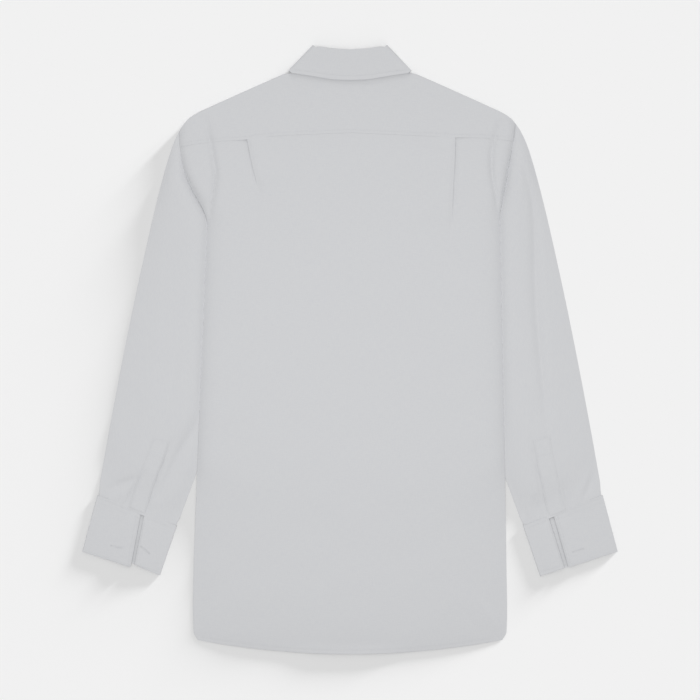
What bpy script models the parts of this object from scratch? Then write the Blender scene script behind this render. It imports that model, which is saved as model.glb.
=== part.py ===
# Long sleeve dress shirt, laid face down on a flat surface with its sleeves at its sides.
# Frame: +X to the wearer's right, +Y to the collar, +Z up, resting on Z = 0.
# Sizes are in millimetres. MM turns them into the metres of the meshes.

import math

import bmesh
import bpy
from mathutils import Vector

MM = 0.001
WELD = 0.00001                 # metres, joins the two ends of a closed tube

# Driving sizes
CLOTH = 1.0                    # wall of every cloth piece
COLLAR_WALL = 1.2              # two plies and their interlining
GAP = 0.3                      # left between pieces at a seam
FLAT_GAP = 1.0                 # between the walls where a tube lies pressed
SOFT_GAP = 1.6                 # more room between the walls away from the edges
NECK_POINT_X = 75.0            # where the shoulder meets the neck seam
PLACKET_WIDTH = 35.0
BUTTON_DIAMETER = 11.0
BUTTON_THICKNESS = 2.0
BUTTON_RIM = 0.4
BUTTON_SIDES = 16
BUTTON_ROUGHNESS = 0.3
CLOTH_ROUGHNESS = 0.85
BUTTON_FIRST_Y = 250.0
BUTTON_SPACING = 88.0
BUTTON_COUNT = 7
COLLAR_BUTTON_Y = 326.0
CUFF_TURN_WALL_GAP = 0.3       # between the two turns of the double cuff
PLEAT_DEPTH = 20.0             # cloth folded under at the yoke seam
PLEAT_LEAST = 0.8              # what is folded under where it starts to open out
PLEAT_OPEN = 14.0              # length of each bend where it lies open
PLEAT_STEP = 1.6               # from one layer of the pleat to the next
TOWER_WIDTH = 24.0

# Shirt outline at one side: the fold of the shoulder, then the fold of the sleeve
SHOULDER_LINE = (              # x, y
    (60.0, 397.0), (75.0, 390.8), (84.0, 387.4), (93.0, 385.8), (205.0, 335.6), (218.4, 328.6),
    (224.3, 324.4), (230.0, 318.8), (236.4, 310.4), (240.5, 303.4), (245.1, 293.6))
SLEEVE_OUTER = (               # y, x
    (-203.5, 353.3), (-98.3, 334.5), (41.6, 307.4), (153.6, 283.2), (209.6, 270.0),
    (251.6, 259.0), (279.6, 250.5), (293.6, 245.1), (303.4, 240.5), (310.4, 236.4),
    (318.8, 230.0), (324.4, 224.3))

# Edge of the body: armhole seam, side and hem corner
BODY_EDGE = (                  # y, left x, right x
    (-406.5, 212.5, 212.5), (-396.0, 218.8, 218.8), (-308.0, 218.8, 218.8),
    (-175.0, 213.9, 216.7), (-70.0, 209.7, 214.6), (150.0, 200.5, 210.4),
    (178.0, 200.0, 209.5), (191.4, 204.0, 210.0), (208.3, 212.5, 213.2),
    (223.6, 220.8, 216.3), (240.5, 228.6, 219.5), (260.0, 234.0, 222.5),
    (279.6, 237.0, 226.0), (292.0, 238.0, 228.4), (316.0, 239.0, 231.4))
HEM_Y = -425.4
HEM_RISE = 19.5                # higher at the side seams
HEM_HALF = 213.0

SEAM_LAP = 6.0                 # the back reaches this far under the yoke
YOKE_SEAM = (                  # x, y
    (-238.0, 284.5), (-190.0, 291.0), (-150.0, 293.5), (-111.0, 298.5), (-42.0, 302.0),
    (0.0, 303.5), (42.0, 302.0), (118.0, 298.5), (147.0, 297.0), (190.0, 296.0),
    (228.4, 292.0))
YOKE_EDGE = (                  # side, x at the seam, x at the shoulder
    (-1, 238.0, 238.6), (1, 228.4, 231.0))
YOKE_SEAT = 0.1                # more room over the back than GAP gives
YOKE_INSET = 1.0               # its fold stays inside the outline by this
YOKE_NECK_Y = 382.0            # back neckline at the centre
YOKE_NECK_RISE = 11.0          # and how much higher it meets the shoulder
YOKE_STEP = (8.0, 42.0)        # above the seam, between these, it comes down onto the back
YOKE_PLEAT_STEP = (152.0, 176.0)   # its height over the pleats ends between these, in x
PLEAT_MIDDLE_X = 147.0
PLEAT_UNDER_END = 0.6          # shares of the pleat's length: nothing more is folded under,
PLEAT_TURN = (0.55, 1.35)      # it opens out,
PLEAT_WIDEN = (1.0, 2.2)       # and its bends grow long
PLEAT_FOLD = (                 # y, left x, right x of the folded edge
    (170.0, 122.0, 142.0), (221.0, 129.0, 144.0), (252.0, 137.0, 146.0), (298.0, 146.3, 147.7))
PLEAT_END = (                  # side, y where the fold has opened out
    (-1, 205.0), (1, 170.0))

FRONT_TOP = (                  # x, y: front neckline, then the front yoke seam
    (0.0, 314.0), (25.0, 317.0), (45.0, 327.0), (60.0, 342.0), (69.0, 357.5),
    (76.0, 354.5), (228.0, 283.0), (240.0, 277.5))

# Collar, from the centre back to the front end, at one side
COLLAR = (                     # turn of the ring (-1 front, 1 back), roll, neck seam, leaf edge
    (1, (0.0, 418.6), (0.0, 382.0), (0.0, 377.0)),
    (1, (24.0, 420.3), (26.0, 383.4), (27.0, 378.4)),
    (1, (42.0, 422.6), (52.0, 388.0), (55.0, 383.0)),
    (1, (49.0, 422.2), (72.0, 392.0), (82.3, 387.2)),
    (-1, (49.0, 422.2), (72.0, 392.0), (82.3, 387.2)),
    (-1, (50.5, 396.0), (66.5, 371.0), (83.0, 354.0)),
    (-1, (43.0, 368.0), (55.0, 341.0), (71.0, 323.0)),
    (-1, (25.0, 351.0), (31.0, 321.0), (57.0, 301.0)),
    (-1, (3.0, 344.0), (3.0, 314.5), (38.0, 277.0)))
COLLAR_EDGE_NORMAL = (0.72, 0.69)
COLLAR_HEIGHT = 6.4            # from the lowest leaf's middle to the highest one's
STAND_INSET = 2.2              # the stand lies this far inside the leaf
LEAF_INSIDE = 0.12             # the leaf starts this far inside the roll, as a share of the stand
STAND_SHARES = (0.155, 0.95)   # the stand's two edges, between the roll and the neck seam
STAND_CLOSE = (18.0, 46.0)     # in x: the ends lie over the button, then come down
STAND_SEAT = 0.05              # more room at the button than GAP gives
SIDE_FOLD_TURNS = (0.707, 0.0, -0.707)
STAND_LAP = 14.0               # the stand's ends pass the centre front by this

# Cuff, at one side: turned back double, its ends not linked
CUFF_TOP_OUTER = (353.5, -203.0)
CUFF_TOP_INNER = (242.3, -246.0)
CUFF_END_OUTER = (375.6, -285.5)
CUFF_END_INNER = (267.5, -320.0)
CUFF_SPLIT = (                 # side, end of the outer part, end of the inner part, and how
    (-1, 0.41, 0.355, 5.0), (1, 0.37, 0.315, 1.0))     # much higher that one sits on the arm
CUFF_OPEN_GAP = 0.7            # between the walls of the inner turn
CUFF_INNER_ENDS = (0.03, 0.97) # the inner turn, as shares of the cuff's length
CUFF_TURN_ROOM = 1.6           # kept free at the end for the bend of the turn

# Sleeve tube: where it is hidden under the body
SLEEVE_TUCK = 8.0              # armhole edge of the sleeve, inside the edge of the body
UNDERARM = (120.0, 80.0)
ARMHOLE_END_Y = 185.0          # below this the hidden edge slants in to the underarm
SLEEVE_INSET = 1.5             # the walls turn round this far inside the outline
SLEEVE_CAP = (                 # side, y of the cap's top, under the yoke, and its bow
    (-1, 309.0, 20.0), (1, 319.0, 26.0))
CAP_BOW_END = 0.55             # shares of the sleeve's length: the bow has faded here,
SLEEVE_FLATTEN = (0.82, 0.98)  # it lies flatter,
SLEEVE_NARROW = (0.90, 0.98)   # it narrows,
SLEEVE_IN_CUFF = (0.90, 0.995) # and it rises between the walls of the cuff
SLEEVE_IN_CUFF_Y = 1.0         # its end lies this far past the cuff's edge,
SLEEVE_INTO_CUFF = 2.8         # and each side is this much narrower there
SLEEVE_SHOWN = (4.0, 42.0)     # it is full only from here on, away from the body

# Sleeve band over the slit
TOWER_EDGE = {                 # side: y, x of the edge nearest the body, up from the cuff
    -1: ((-233.0, 288.8), (-214.6, 282.5), (-184.0, 272.6), (-148.0, 258.4), (-128.0, 252.0)),
    1: ((-231.0, 280.0), (-221.5, 275.2), (-185.0, 267.5), (-147.4, 259.5), (-126.0, 256.5))}
TOWER_TOP_SLOPE = 0.30         # the squared top rises away from the body
TOWER_LIFT = 0.45              # its underside above the sleeve
TOWER_TO_CUFF = 5.5            # from its lower end to the cuff

# How the layers of the body climb over what they lie on
CLIMB_SLEEVE = 70.0            # length of the climb onto a sleeve
CLIMB_SLEEVE_INSET = 14.0      # it ends this far inside the sleeve's edge
SLEEVE_LEAVES = (205.0, 270.0) # the sleeve comes out from under the body between these, in -y
CLIMB_COLLAR_Y = (232.0, 262.0)
CLIMB_COLLAR_X = (96.0, 130.0)
SOFT_FROM_EDGE = 45.0          # the body is full this far in from its side edges,
SOFT_FROM_HEM = 40.0           # from the hem,
SOFT_SHOULDER_Y = (230.0, 285.0)   # and below the yoke
FRONT_OVER_BUTTONS = (22.0, 68.0)  # in x: level over the buttons, then down beside them
BACK_OVER_BUTTONS = (30.0, 100.0)
BUTTONS_END_Y = (345.0, 370.0)

SHELL_WHITE = (0.80, 0.81, 0.83, 1.0)
BUTTON_WHITE = (0.86, 0.86, 0.84, 1.0)


def smooth(value, start, end):
    # 0 before start, 1 after end, and an even S between them
    share = min(max((value - start) / (end - start), 0.0), 1.0)
    return share * share * (3.0 - 2.0 * share)


def along(rows, place, column=1):
    # A table's column at a place between its rows, by a smooth curve through them
    if place <= rows[0][0]:
        return rows[0][column]
    if place >= rows[-1][0]:
        return rows[-1][column]
    at = max(i for i in range(len(rows) - 1) if rows[i][0] <= place)
    here, there = rows[at], rows[at + 1]
    before, after = rows[max(at - 1, 0)], rows[min(at + 2, len(rows) - 1)]
    step = there[0] - here[0]
    share = (place - here[0]) / step
    slope_in = (there[column] - before[column]) / (there[0] - before[0]) * step
    slope_out = (after[column] - here[column]) / (after[0] - here[0]) * step
    return ((2 * share**3 - 3 * share**2 + 1) * here[column]
            + (share**3 - 2 * share**2 + share) * slope_in
            + (3 * share**2 - 2 * share**3) * there[column]
            + (share**3 - share**2) * slope_out)


def mix(first, second, share):
    return first + (second - first) * share


def mix_point(first, second, share):
    return tuple(mix(a, b, share) for a, b in zip(first, second))


def body_edge(side, y):
    return along(BODY_EDGE, y, 1 if side < 0 else 2)


def hem_y(x):
    return HEM_Y + HEM_RISE * (x / HEM_HALF) ** 2


def hidden_sleeve_x(side, y):
    # Inner boundary of the sleeve under the body, at a height
    if y > ARMHOLE_END_Y:
        return body_edge(side, y) - SLEEVE_TUCK
    if y > UNDERARM[1]:
        share = (ARMHOLE_END_Y - y) / (ARMHOLE_END_Y - UNDERARM[1])
        return mix(body_edge(side, ARMHOLE_END_Y) - SLEEVE_TUCK, UNDERARM[0], share)
    slope = (CUFF_TOP_INNER[0] - UNDERARM[0]) / (UNDERARM[1] - CUFF_TOP_INNER[1])
    return UNDERARM[0] + (UNDERARM[1] - y) * slope


def body_base(x, y):
    # Height of the front panels' underside: they lie on the floor, over the sleeves'
    # inner parts and over the collar points
    side = -1 if x < 0 else 1
    inner = hidden_sleeve_x(side, y) - CLIMB_SLEEVE_INSET
    over_sleeve = 2 * CLOTH + FLAT_GAP + 2 * GAP
    over_collar = COLLAR_WALL + GAP + STAND_SEAT
    on_sleeve = smooth(abs(x), inner - CLIMB_SLEEVE, inner)
    on_sleeve *= 1.0 - smooth(-y, *SLEEVE_LEAVES)
    on_collar = smooth(y, *CLIMB_COLLAR_Y) * (1.0 - smooth(abs(x), *CLIMB_COLLAR_X))
    return over_sleeve * on_sleeve + over_collar * on_collar


def room(x, y):
    # From the middle of the front's wall to the middle of the back's
    side = -1 if x < 0 else 1
    from_edge = body_edge(side, y) - abs(x)
    from_hem = y - hem_y(x)
    soft = smooth(from_edge, 0.0, SOFT_FROM_EDGE) * smooth(from_hem, 0.0, SOFT_FROM_HEM)
    soft *= 1.0 - smooth(y, *SOFT_SHOULDER_Y)
    return CLOTH + FLAT_GAP + SOFT_GAP * soft


def front_middle(x, y, side):
    # The left front lies under the right one at the centre front
    over_button = BUTTON_THICKNESS + GAP + CLOTH + GAP
    over_button += 0.0 if side < 0 else CLOTH + GAP
    beside = body_base(x, y)
    lift = (1.0 - smooth(abs(x), *FRONT_OVER_BUTTONS)) * (over_button - beside)
    return beside + max(lift, 0.0) + CLOTH / 2


def back_middle(x, y):
    low = body_base(x, y) + CLOTH / 2 + room(x, y)
    over_buttons = BUTTON_THICKNESS + 3 * (CLOTH + GAP) + CLOTH / 2 + 2 * GAP
    share = (1.0 - smooth(abs(x), *BACK_OVER_BUTTONS)) * (1.0 - smooth(y, *BUTTONS_END_Y))
    return low + max(over_buttons - low, 0.0) * share


def principled(name, colour, roughness):
    material = bpy.data.materials.new(name)
    material.use_nodes = True
    shader = material.node_tree.nodes["Principled BSDF"]
    shader.inputs["Base Color"].default_value = colour
    shader.inputs["Roughness"].default_value = roughness
    material.diffuse_color = colour
    return material


def add_piece(name, bm, colour=SHELL_WHITE, roughness=CLOTH_ROUGHNESS):
    mesh = bpy.data.meshes.new(name)
    bm.to_mesh(mesh)
    bm.free()
    piece = bpy.data.objects.new(name, mesh)
    collection.objects.link(piece)
    mesh.materials.append(principled(name + "_finish", colour, roughness))
    mesh.shade_smooth()
    return piece


def cloth(name, columns, rows, place, wall=CLOTH, closed=False, keep=None):
    # A sheet of columns by rows, laid out by place(column, row), with a wall
    bm = bmesh.new()
    bmesh.ops.create_grid(bm, x_segments=columns, y_segments=rows, size=0.5)
    dropped = []
    for face in bm.faces:
        middle = face.calc_center_median()
        column = int((middle.x + 0.5) * columns)
        row = int((middle.y + 0.5) * rows)
        if keep and not keep(column, row):
            dropped.append(face)
    bmesh.ops.delete(bm, geom=dropped, context="FACES")
    for vert in bm.verts:
        column = round((vert.co.x + 0.5) * columns)
        row = round((vert.co.y + 0.5) * rows)
        vert.co = Vector(place(column, row)) * MM
    if closed:
        bmesh.ops.remove_doubles(bm, verts=bm.verts, dist=WELD)
    bmesh.ops.triangulate(bm, faces=bm.faces)
    bmesh.ops.recalc_face_normals(bm, faces=bm.faces)
    piece = add_piece(name, bm)
    solidify = piece.modifiers.new("wall", "SOLIDIFY")
    solidify.thickness = wall * MM
    solidify.offset = 0.0
    return piece


# Body panels

def pleat_points(x, under, turn, bend_length):
    # Knife pleat from its top layer to its bottom one, as (x, height) at ten points:
    # a bend, the cloth folded under, and a bend back. At a turn of pi it lies folded
    # flat, and at 0 it has opened out.
    points = [(x, 0.0)]
    chord = bend_length / 4
    for heading in (-0.125, -0.375, -0.625, -0.875):
        points.append((points[-1][0] + chord * math.cos(turn * heading),
                       points[-1][1] + chord * math.sin(turn * heading)))
    points.append((points[-1][0] + under * math.cos(turn), points[-1][1] - under * math.sin(turn)))
    for heading in (-0.875, -0.625, -0.375, -0.125):
        points.append((points[-1][0] + chord * math.cos(turn * heading),
                       points[-1][1] + chord * math.sin(turn * heading)))
    drop = -points[-1][1]
    return [(place, height + drop) for place, height in points], drop


def pleat_row(side, y):
    end = dict(PLEAT_END)[side]
    top = along(YOKE_SEAM, side * PLEAT_MIDDLE_X) + SEAM_LAP
    down = (top - y) / (top - end)
    under = max(PLEAT_DEPTH * (1.0 - down / PLEAT_UNDER_END), PLEAT_LEAST)
    turn = math.pi * (1.0 - smooth(down, *PLEAT_TURN))
    bend_length = mix(math.pi * PLEAT_STEP / 2, PLEAT_OPEN, smooth(down, *PLEAT_WIDEN))
    fold_x = along(PLEAT_FOLD, y, 1 if side < 0 else 2) - PLEAT_STEP / 2
    return pleat_points(fold_x, under, turn, bend_length)


BACK_ROWS = (0.0, 0.012, 0.03, 0.052, 0.075, 0.098, 0.12, 0.142, 0.165, 0.19, 0.23, 0.29,
             0.36, 0.44, 0.53, 0.62, 0.71, 0.80, 0.89, 0.955, 0.985, 1.0)
SIDE_STEPS = (0.22, 0.46, 0.70, 0.90, 1.0)
CENTRE_STEPS = (0.0, 0.20, 0.42, 0.66, 0.86)
PLEAT_COLUMNS = 10
ARMHOLE_X = 230.0              # where the seam's height at the armhole is read


def back_place(column, row):
    half = column - (len(SIDE_STEPS) + PLEAT_COLUMNS + len(CENTRE_STEPS) - 1)
    side = -1 if half < 0 else 1
    step = abs(half)
    share = BACK_ROWS[row]
    edge_y = mix(along(YOKE_SEAM, side * ARMHOLE_X) + SEAM_LAP, hem_y(HEM_HALF), share)
    edge_x = body_edge(side, edge_y)
    fold, raised = pleat_row(side, edge_y)
    if step < len(CENTRE_STEPS):
        x = CENTRE_STEPS[step] * fold[0][0]
        lift = raised
    elif step < len(CENTRE_STEPS) + PLEAT_COLUMNS:
        x, lift = fold[step - len(CENTRE_STEPS)]
    else:
        x = mix(fold[-1][0], edge_x, SIDE_STEPS[step - len(CENTRE_STEPS) - PLEAT_COLUMNS])
        lift = 0.0
    x *= side
    y = mix(along(YOKE_SEAM, x) + SEAM_LAP, hem_y(x), share)
    return x, y, back_middle(x, y) + lift


def build_back():
    columns = 2 * (len(CENTRE_STEPS) - 1 + PLEAT_COLUMNS + len(SIDE_STEPS))
    cloth("back_panel", columns, len(BACK_ROWS) - 1, back_place)


FRONT_ROWS = (0.0, 0.03, 0.07, 0.12, 0.18, 0.25, 0.33, 0.42, 0.51, 0.60, 0.69, 0.78, 0.87, 0.95, 1.0)
FRONT_STEPS = (0.0, 0.075, 0.15, 0.22, 0.32, 0.44, 0.58, 0.72, 0.86, 1.0)
FRONT_HEM_LIFT = 2.0           # the fronts end this much above the back's hem,
PLACKET_HEM_LIFT = 2.5         # and the placket this much
PLACKET_INSET = 0.2            # each side of the placket, and its top, inside the front's edges


def build_fronts():
    for name, side in (("front_left", -1), ("front_right", 1)):
        def place(column, row):
            share = FRONT_ROWS[row]
            edge_y = mix(along(FRONT_TOP, ARMHOLE_X), hem_y(HEM_HALF) + FRONT_HEM_LIFT, share)
            edge_x = body_edge(side, edge_y) - GAP
            x = mix(-PLACKET_WIDTH / 2, edge_x, FRONT_STEPS[column])
            y = mix(along(FRONT_TOP, abs(x)), hem_y(x) + FRONT_HEM_LIFT, share)
            return side * x, y, front_middle(side * x, y, side)
        cloth(name, len(FRONT_STEPS) - 1, len(FRONT_ROWS) - 1, place)


def build_front_placket():
    rows = 16
    half = PLACKET_WIDTH / 2 - PLACKET_INSET

    def place(column, row):
        x = mix(-half, half, column / 2)
        top = along(FRONT_TOP, abs(x)) - 5 * PLACKET_INSET
        y = mix(top, hem_y(x) + PLACKET_HEM_LIFT, row / rows)
        return x, y, BUTTON_THICKNESS + GAP + CLOTH / 2
    cloth("front_placket", 2, rows, place)


# Yoke

YOKE_HALF_STEPS = (0.0, 0.33, 0.66, 1.0)
YOKE_SHOULDER_STEPS = (0.14, 0.32, 0.50, 0.68, 0.84, 0.94, 1.0)
YOKE_TOP_SHARES = (0.0, 0.08, 0.20, 0.40, 0.64, 0.86, 1.0)
FOLD_TURNS = 4
YOKE_UNDER_SHARES = (0.33, 0.66, 1.0)
NECK_SLANT = (5.0, 60.0)       # in front the neck edge slants out by this, over this width


def shoulder_point(x):
    # On the fold line, with the outward direction there
    y = along(SHOULDER_LINE, x)
    slope = along(SHOULDER_LINE, x + 0.5) - along(SHOULDER_LINE, x - 0.5)
    size = math.hypot(slope, 1.0)
    return y, (-slope / size, 1.0 / size)


def yoke_place(column, row):
    half = column - (len(YOKE_HALF_STEPS) - 1 + len(YOKE_SHOULDER_STEPS))
    side = -1 if half < 0 else 1
    step = abs(half)
    edge_low, edge_high = {row[0]: row[1:] for row in YOKE_EDGE}[side]
    last_top = len(YOKE_TOP_SHARES) - 1
    share = YOKE_TOP_SHARES[min(row, last_top)]
    if step < len(YOKE_HALF_STEPS):
        x = NECK_POINT_X * YOKE_HALF_STEPS[step]
    else:
        outer = mix(edge_low, edge_high, share)
        x = mix(NECK_POINT_X, outer, YOKE_SHOULDER_STEPS[step - len(YOKE_HALF_STEPS)])
    seam = along(YOKE_SEAM, side * x)
    on_shoulder = x >= NECK_POINT_X
    fold_y, outward = shoulder_point(x)
    inset = YOKE_INSET + CLOTH / 2
    neck_y = YOKE_NECK_Y + YOKE_NECK_RISE * (x / NECK_POINT_X) ** 2
    top_y = fold_y - inset / outward[1] if on_shoulder else neck_y
    if row <= last_top:
        y = mix(seam, top_y, share)
        lap = CLOTH + GAP + YOKE_SEAT
        folded = 2 * PLEAT_STEP * (1.0 - smooth(x, *YOKE_PLEAT_STEP))
        height = back_middle(side * x, y)
        return side * x, y, height + (lap + folded) * (1.0 - smooth(y - seam, *YOKE_STEP))
    low = front_middle(side * x, top_y, side)
    high = back_middle(side * x, top_y)
    bend = (high - low) / 2
    if row <= last_top + FOLD_TURNS:
        turn = math.pi * (0.5 - (row - last_top) / FOLD_TURNS)
        out = min(bend, YOKE_INSET) * math.cos(turn)
        return (side * (x + out * outward[0]), top_y + out * outward[1],
                low + bend + bend * math.sin(turn))
    under = YOKE_UNDER_SHARES[row - last_top - FOLD_TURNS - 1]
    x -= NECK_SLANT[0] * under * (1.0 - smooth(x, NECK_POINT_X, NECK_POINT_X + NECK_SLANT[1]))
    y = mix(top_y, along(FRONT_TOP, x) + 2 * GAP, under)
    return side * x, y, front_middle(side * x, y, side)


def build_yoke():
    half = len(YOKE_HALF_STEPS) - 1 + len(YOKE_SHOULDER_STEPS)
    first, last = len(YOKE_SHOULDER_STEPS), 2 * half - len(YOKE_SHOULDER_STEPS)
    last_top = len(YOKE_TOP_SHARES) - 1
    rows = last_top + FOLD_TURNS + len(YOKE_UNDER_SHARES)
    cloth("yoke", 2 * half, rows, yoke_place,
          keep=lambda column, row: row < last_top or column < first or column >= last)


# Collar: a ring folded flat, its back half over its front half

def collar_stations():
    # Columns round the ring, from the left front end by the back to the right front end:
    # side, turn of the side fold, roll, neck and edge points
    half = []
    for turn, roll, neck, edge in COLLAR:
        if half and half[-1][0] > turn:
            half += [(part_turn, roll, neck, edge) for part_turn in SIDE_FOLD_TURNS]
        elif half:
            middle = tuple(mix_point(a, b, 0.5) for a, b in zip(half[-1][1:], (roll, neck, edge)))
            half.append((turn,) + middle)
        half.append((turn, roll, neck, edge))
    return [(-1,) + station for station in reversed(half[1:])] + [(1,) + station for station in half]


LEAF_MIDDLE = (COLLAR_WALL / 2, COLLAR_WALL / 2 + COLLAR_HEIGHT)     # lowest and highest walls
STAND_MIDDLE = (LEAF_MIDDLE[0] + STAND_INSET, LEAF_MIDDLE[1] - STAND_INSET)


def collar_place(stations, inner_rows, outer_shares):
    # Rows run from inside the roll, round it, and down the leaf to its edge
    centre = (LEAF_MIDDLE[0] + LEAF_MIDDLE[1]) / 2
    far = (LEAF_MIDDLE[1] - LEAF_MIDDLE[0]) / 2
    near = (STAND_MIDDLE[1] - STAND_MIDDLE[0]) / 2
    bend = (far - near) / 2

    def place(column, row):
        side, turn, roll, neck, edge = stations[column]
        out_share = math.cos(math.asin(max(min(turn, 1.0), -1.0)))
        if row < inner_rows:
            point = mix_point(roll, neck, LEAF_INSIDE * (inner_rows - row) / inner_rows)
            radius = near
        elif row <= inner_rows + FOLD_TURNS:
            angle = math.pi * (row - inner_rows) / FOLD_TURNS
            length = math.hypot(roll[0] - neck[0], roll[1] - neck[1])
            beyond = bend * math.sin(angle) / length
            point = mix_point(roll, neck, -beyond)
            radius = near + bend - bend * math.cos(angle)
        else:
            point = mix_point(roll, edge, outer_shares[row - inner_rows - FOLD_TURNS - 1])
            radius = far
        x = point[0] + radius * out_share * COLLAR_EDGE_NORMAL[0]
        y = point[1] + radius * out_share * COLLAR_EDGE_NORMAL[1]
        return side * x, y, centre + radius * turn
    return place


def build_collar():
    stations = collar_stations()
    shares = (0.3, 0.65, 1.0)
    rows = 1 + FOLD_TURNS + len(shares)
    cloth("collar_leaf", len(stations) - 1, rows, collar_place(stations, 1, shares), wall=COLLAR_WALL)

    centre = (LEAF_MIDDLE[0] + LEAF_MIDDLE[1]) / 2
    near = (STAND_MIDDLE[1] - STAND_MIDDLE[0]) / 2
    _, _, roll, neck, _ = stations[0]
    end = (-1.0, (-STAND_LAP, roll[1]), (-STAND_LAP, neck[1]), None)
    ring = [(-1,) + end] + stations + [(1,) + end]
    rows = 3

    def place(column, row):
        side, turn, roll, neck, edge = ring[column]
        out_share = math.cos(math.asin(turn))
        share = mix(*STAND_SHARES, row / rows)
        point = mix_point(roll, neck, share)
        x = side * (point[0] + near * out_share * COLLAR_EDGE_NORMAL[0])
        y = point[1] + near * out_share * COLLAR_EDGE_NORMAL[1]
        height = centre + near * turn
        if turn == -1.0:
            close = 1.0 - smooth(abs(x), *STAND_CLOSE)
            lift = BUTTON_THICKNESS + GAP + STAND_SEAT + COLLAR_WALL / 2 - height
            lift += 0.0 if side < 0 else COLLAR_WALL + GAP
            height += lift * close
        return x, y, height
    cloth("collar_stand", len(ring) - 1, rows, place, wall=COLLAR_WALL)


# Sleeves

SLEEVE_ROWS = 20
SLEEVE_FLAT = 6                # columns in each wall
SLEEVE_TURN = 4                # columns in each fold


def ring_stations(flat, turns):
    # Round a flattened tube: place across from the inner fold (0) to the outer (1), and turn
    stations = [(k / flat, -math.pi / 2) for k in range(flat)]
    stations += [(1.0, math.pi * (k / turns - 0.5)) for k in range(turns)]
    stations += [(1.0 - k / flat, math.pi / 2) for k in range(flat)]
    stations += [(0.0, math.pi * (0.5 + k / turns)) for k in range(turns)]
    return stations + [stations[0]]


def sleeve_section(side, share):
    # Outer and inner ends of the section, and how far it bows toward the shoulder
    tip_y, cap_bow = {row[0]: row[1:] for row in SLEEVE_CAP}[side]
    outer_y = mix(tip_y, CUFF_TOP_OUTER[1] - SLEEVE_IN_CUFF_Y, share)
    outer_x = along(SLEEVE_OUTER, outer_y) - SLEEVE_INSET
    inner = mix_point((UNDERARM[0] + SLEEVE_INSET, UNDERARM[1]),
                      (CUFF_TOP_INNER[0] + SLEEVE_INSET, CUFF_TOP_INNER[1] - SLEEVE_IN_CUFF_Y), share)
    into_cuff = SLEEVE_INTO_CUFF * smooth(share, *SLEEVE_NARROW)
    slope = (CUFF_TOP_OUTER[1] - CUFF_TOP_INNER[1]) / (CUFF_TOP_OUTER[0] - CUFF_TOP_INNER[0])
    outer_x -= into_cuff
    outer_y -= into_cuff * slope
    inner = (inner[0] + into_cuff, inner[1] + into_cuff * slope)
    bow = cap_bow * (1.0 - smooth(share, 0.0, CAP_BOW_END))
    return (outer_x, outer_y), inner, bow


def sleeve_point(side, share, across):
    outer, inner, bow = sleeve_section(side, share)
    x, y = mix_point(inner, outer, across)
    length = math.hypot(outer[0] - inner[0], outer[1] - inner[1])
    toward = ((outer[0] - inner[0]) / length, (outer[1] - inner[1]) / length)
    out = bow * 4 * across * (1 - across)
    return x + toward[1] * out, y - toward[0] * out, toward


def sleeve_heights(side, share, across, x, y):
    # Middle of the lower wall and of the upper wall
    cuff = smooth(share, *SLEEVE_IN_CUFF)
    low = CLOTH / 2 + (CLOTH + CUFF_TURN_WALL_GAP) * cuff
    apart = mix(CLOTH + FLAT_GAP, CLOTH + CUFF_OPEN_GAP, cuff)
    shown = smooth(x - max(body_edge(side, y), hidden_sleeve_x(side, y)), *SLEEVE_SHOWN)
    dome = 4 * across * (1 - across) * shown * (1.0 - smooth(share, *SLEEVE_FLATTEN))
    return low, low + apart + SOFT_GAP * dome


def build_sleeves():
    stations = ring_stations(SLEEVE_FLAT, SLEEVE_TURN)
    for name, side in (("sleeve_left", -1), ("sleeve_right", 1)):
        def place(column, row):
            share = row / SLEEVE_ROWS
            across, turn = stations[column]
            x, y, toward = sleeve_point(side, share, across)
            low, high = sleeve_heights(side, share, across, x, y)
            bend = (high - low) / 2
            out = bend * math.cos(turn) if across in (0.0, 1.0) else 0.0
            return (side * (x + toward[0] * out), y + toward[1] * out,
                    low + bend + bend * math.sin(turn))
        cloth(name, len(stations) - 1, SLEEVE_ROWS, place, closed=True)


def cuff_top_y(x):
    share = (x - CUFF_TOP_INNER[0]) / (CUFF_TOP_OUTER[0] - CUFF_TOP_INNER[0])
    return mix(CUFF_TOP_INNER[1], CUFF_TOP_OUTER[1], share)


def build_towers():
    rows, columns = 8, 3
    for name, side in (("sleeve_placket_left", -1), ("sleeve_placket_right", 1)):
        edge = TOWER_EDGE[side]

        def place(column, row):
            over = TOWER_WIDTH * column / columns
            rise = over * TOWER_TOP_SLOPE
            low_y = cuff_top_y(edge[0][1] + over) + TOWER_TO_CUFF - rise
            y = mix(low_y, edge[-1][0], row / rows)
            x = along(edge, y) + over
            y += rise
            return side * x, y, sleeve_top(side, x, y) + TOWER_LIFT + CLOTH / 2
        cloth(name, columns, rows, place)


SEARCH_TURNS = 24
SEARCH_START = (0.8, 0.5)      # share of the sleeve's length, and across it
SEARCH_STEP = 0.001


def sleeve_top(side, x, y):
    # Upper face of the sleeve at a point, found by closing in on its section
    share, across = SEARCH_START
    for _ in range(SEARCH_TURNS):
        here = sleeve_point(side, share, across)
        down = sleeve_point(side, share + SEARCH_STEP, across)
        over = sleeve_point(side, share, across + SEARCH_STEP)
        a, b = (down[0] - here[0]) / SEARCH_STEP, (over[0] - here[0]) / SEARCH_STEP
        c, d = (down[1] - here[1]) / SEARCH_STEP, (over[1] - here[1]) / SEARCH_STEP
        wide = a * d - b * c
        share += ((x - here[0]) * d - (y - here[1]) * b) / wide
        across += ((y - here[1]) * a - (x - here[0]) * c) / wide
    low, high = sleeve_heights(side, share, across, x, y)
    return high + CLOTH / 2


# Cuffs

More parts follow.
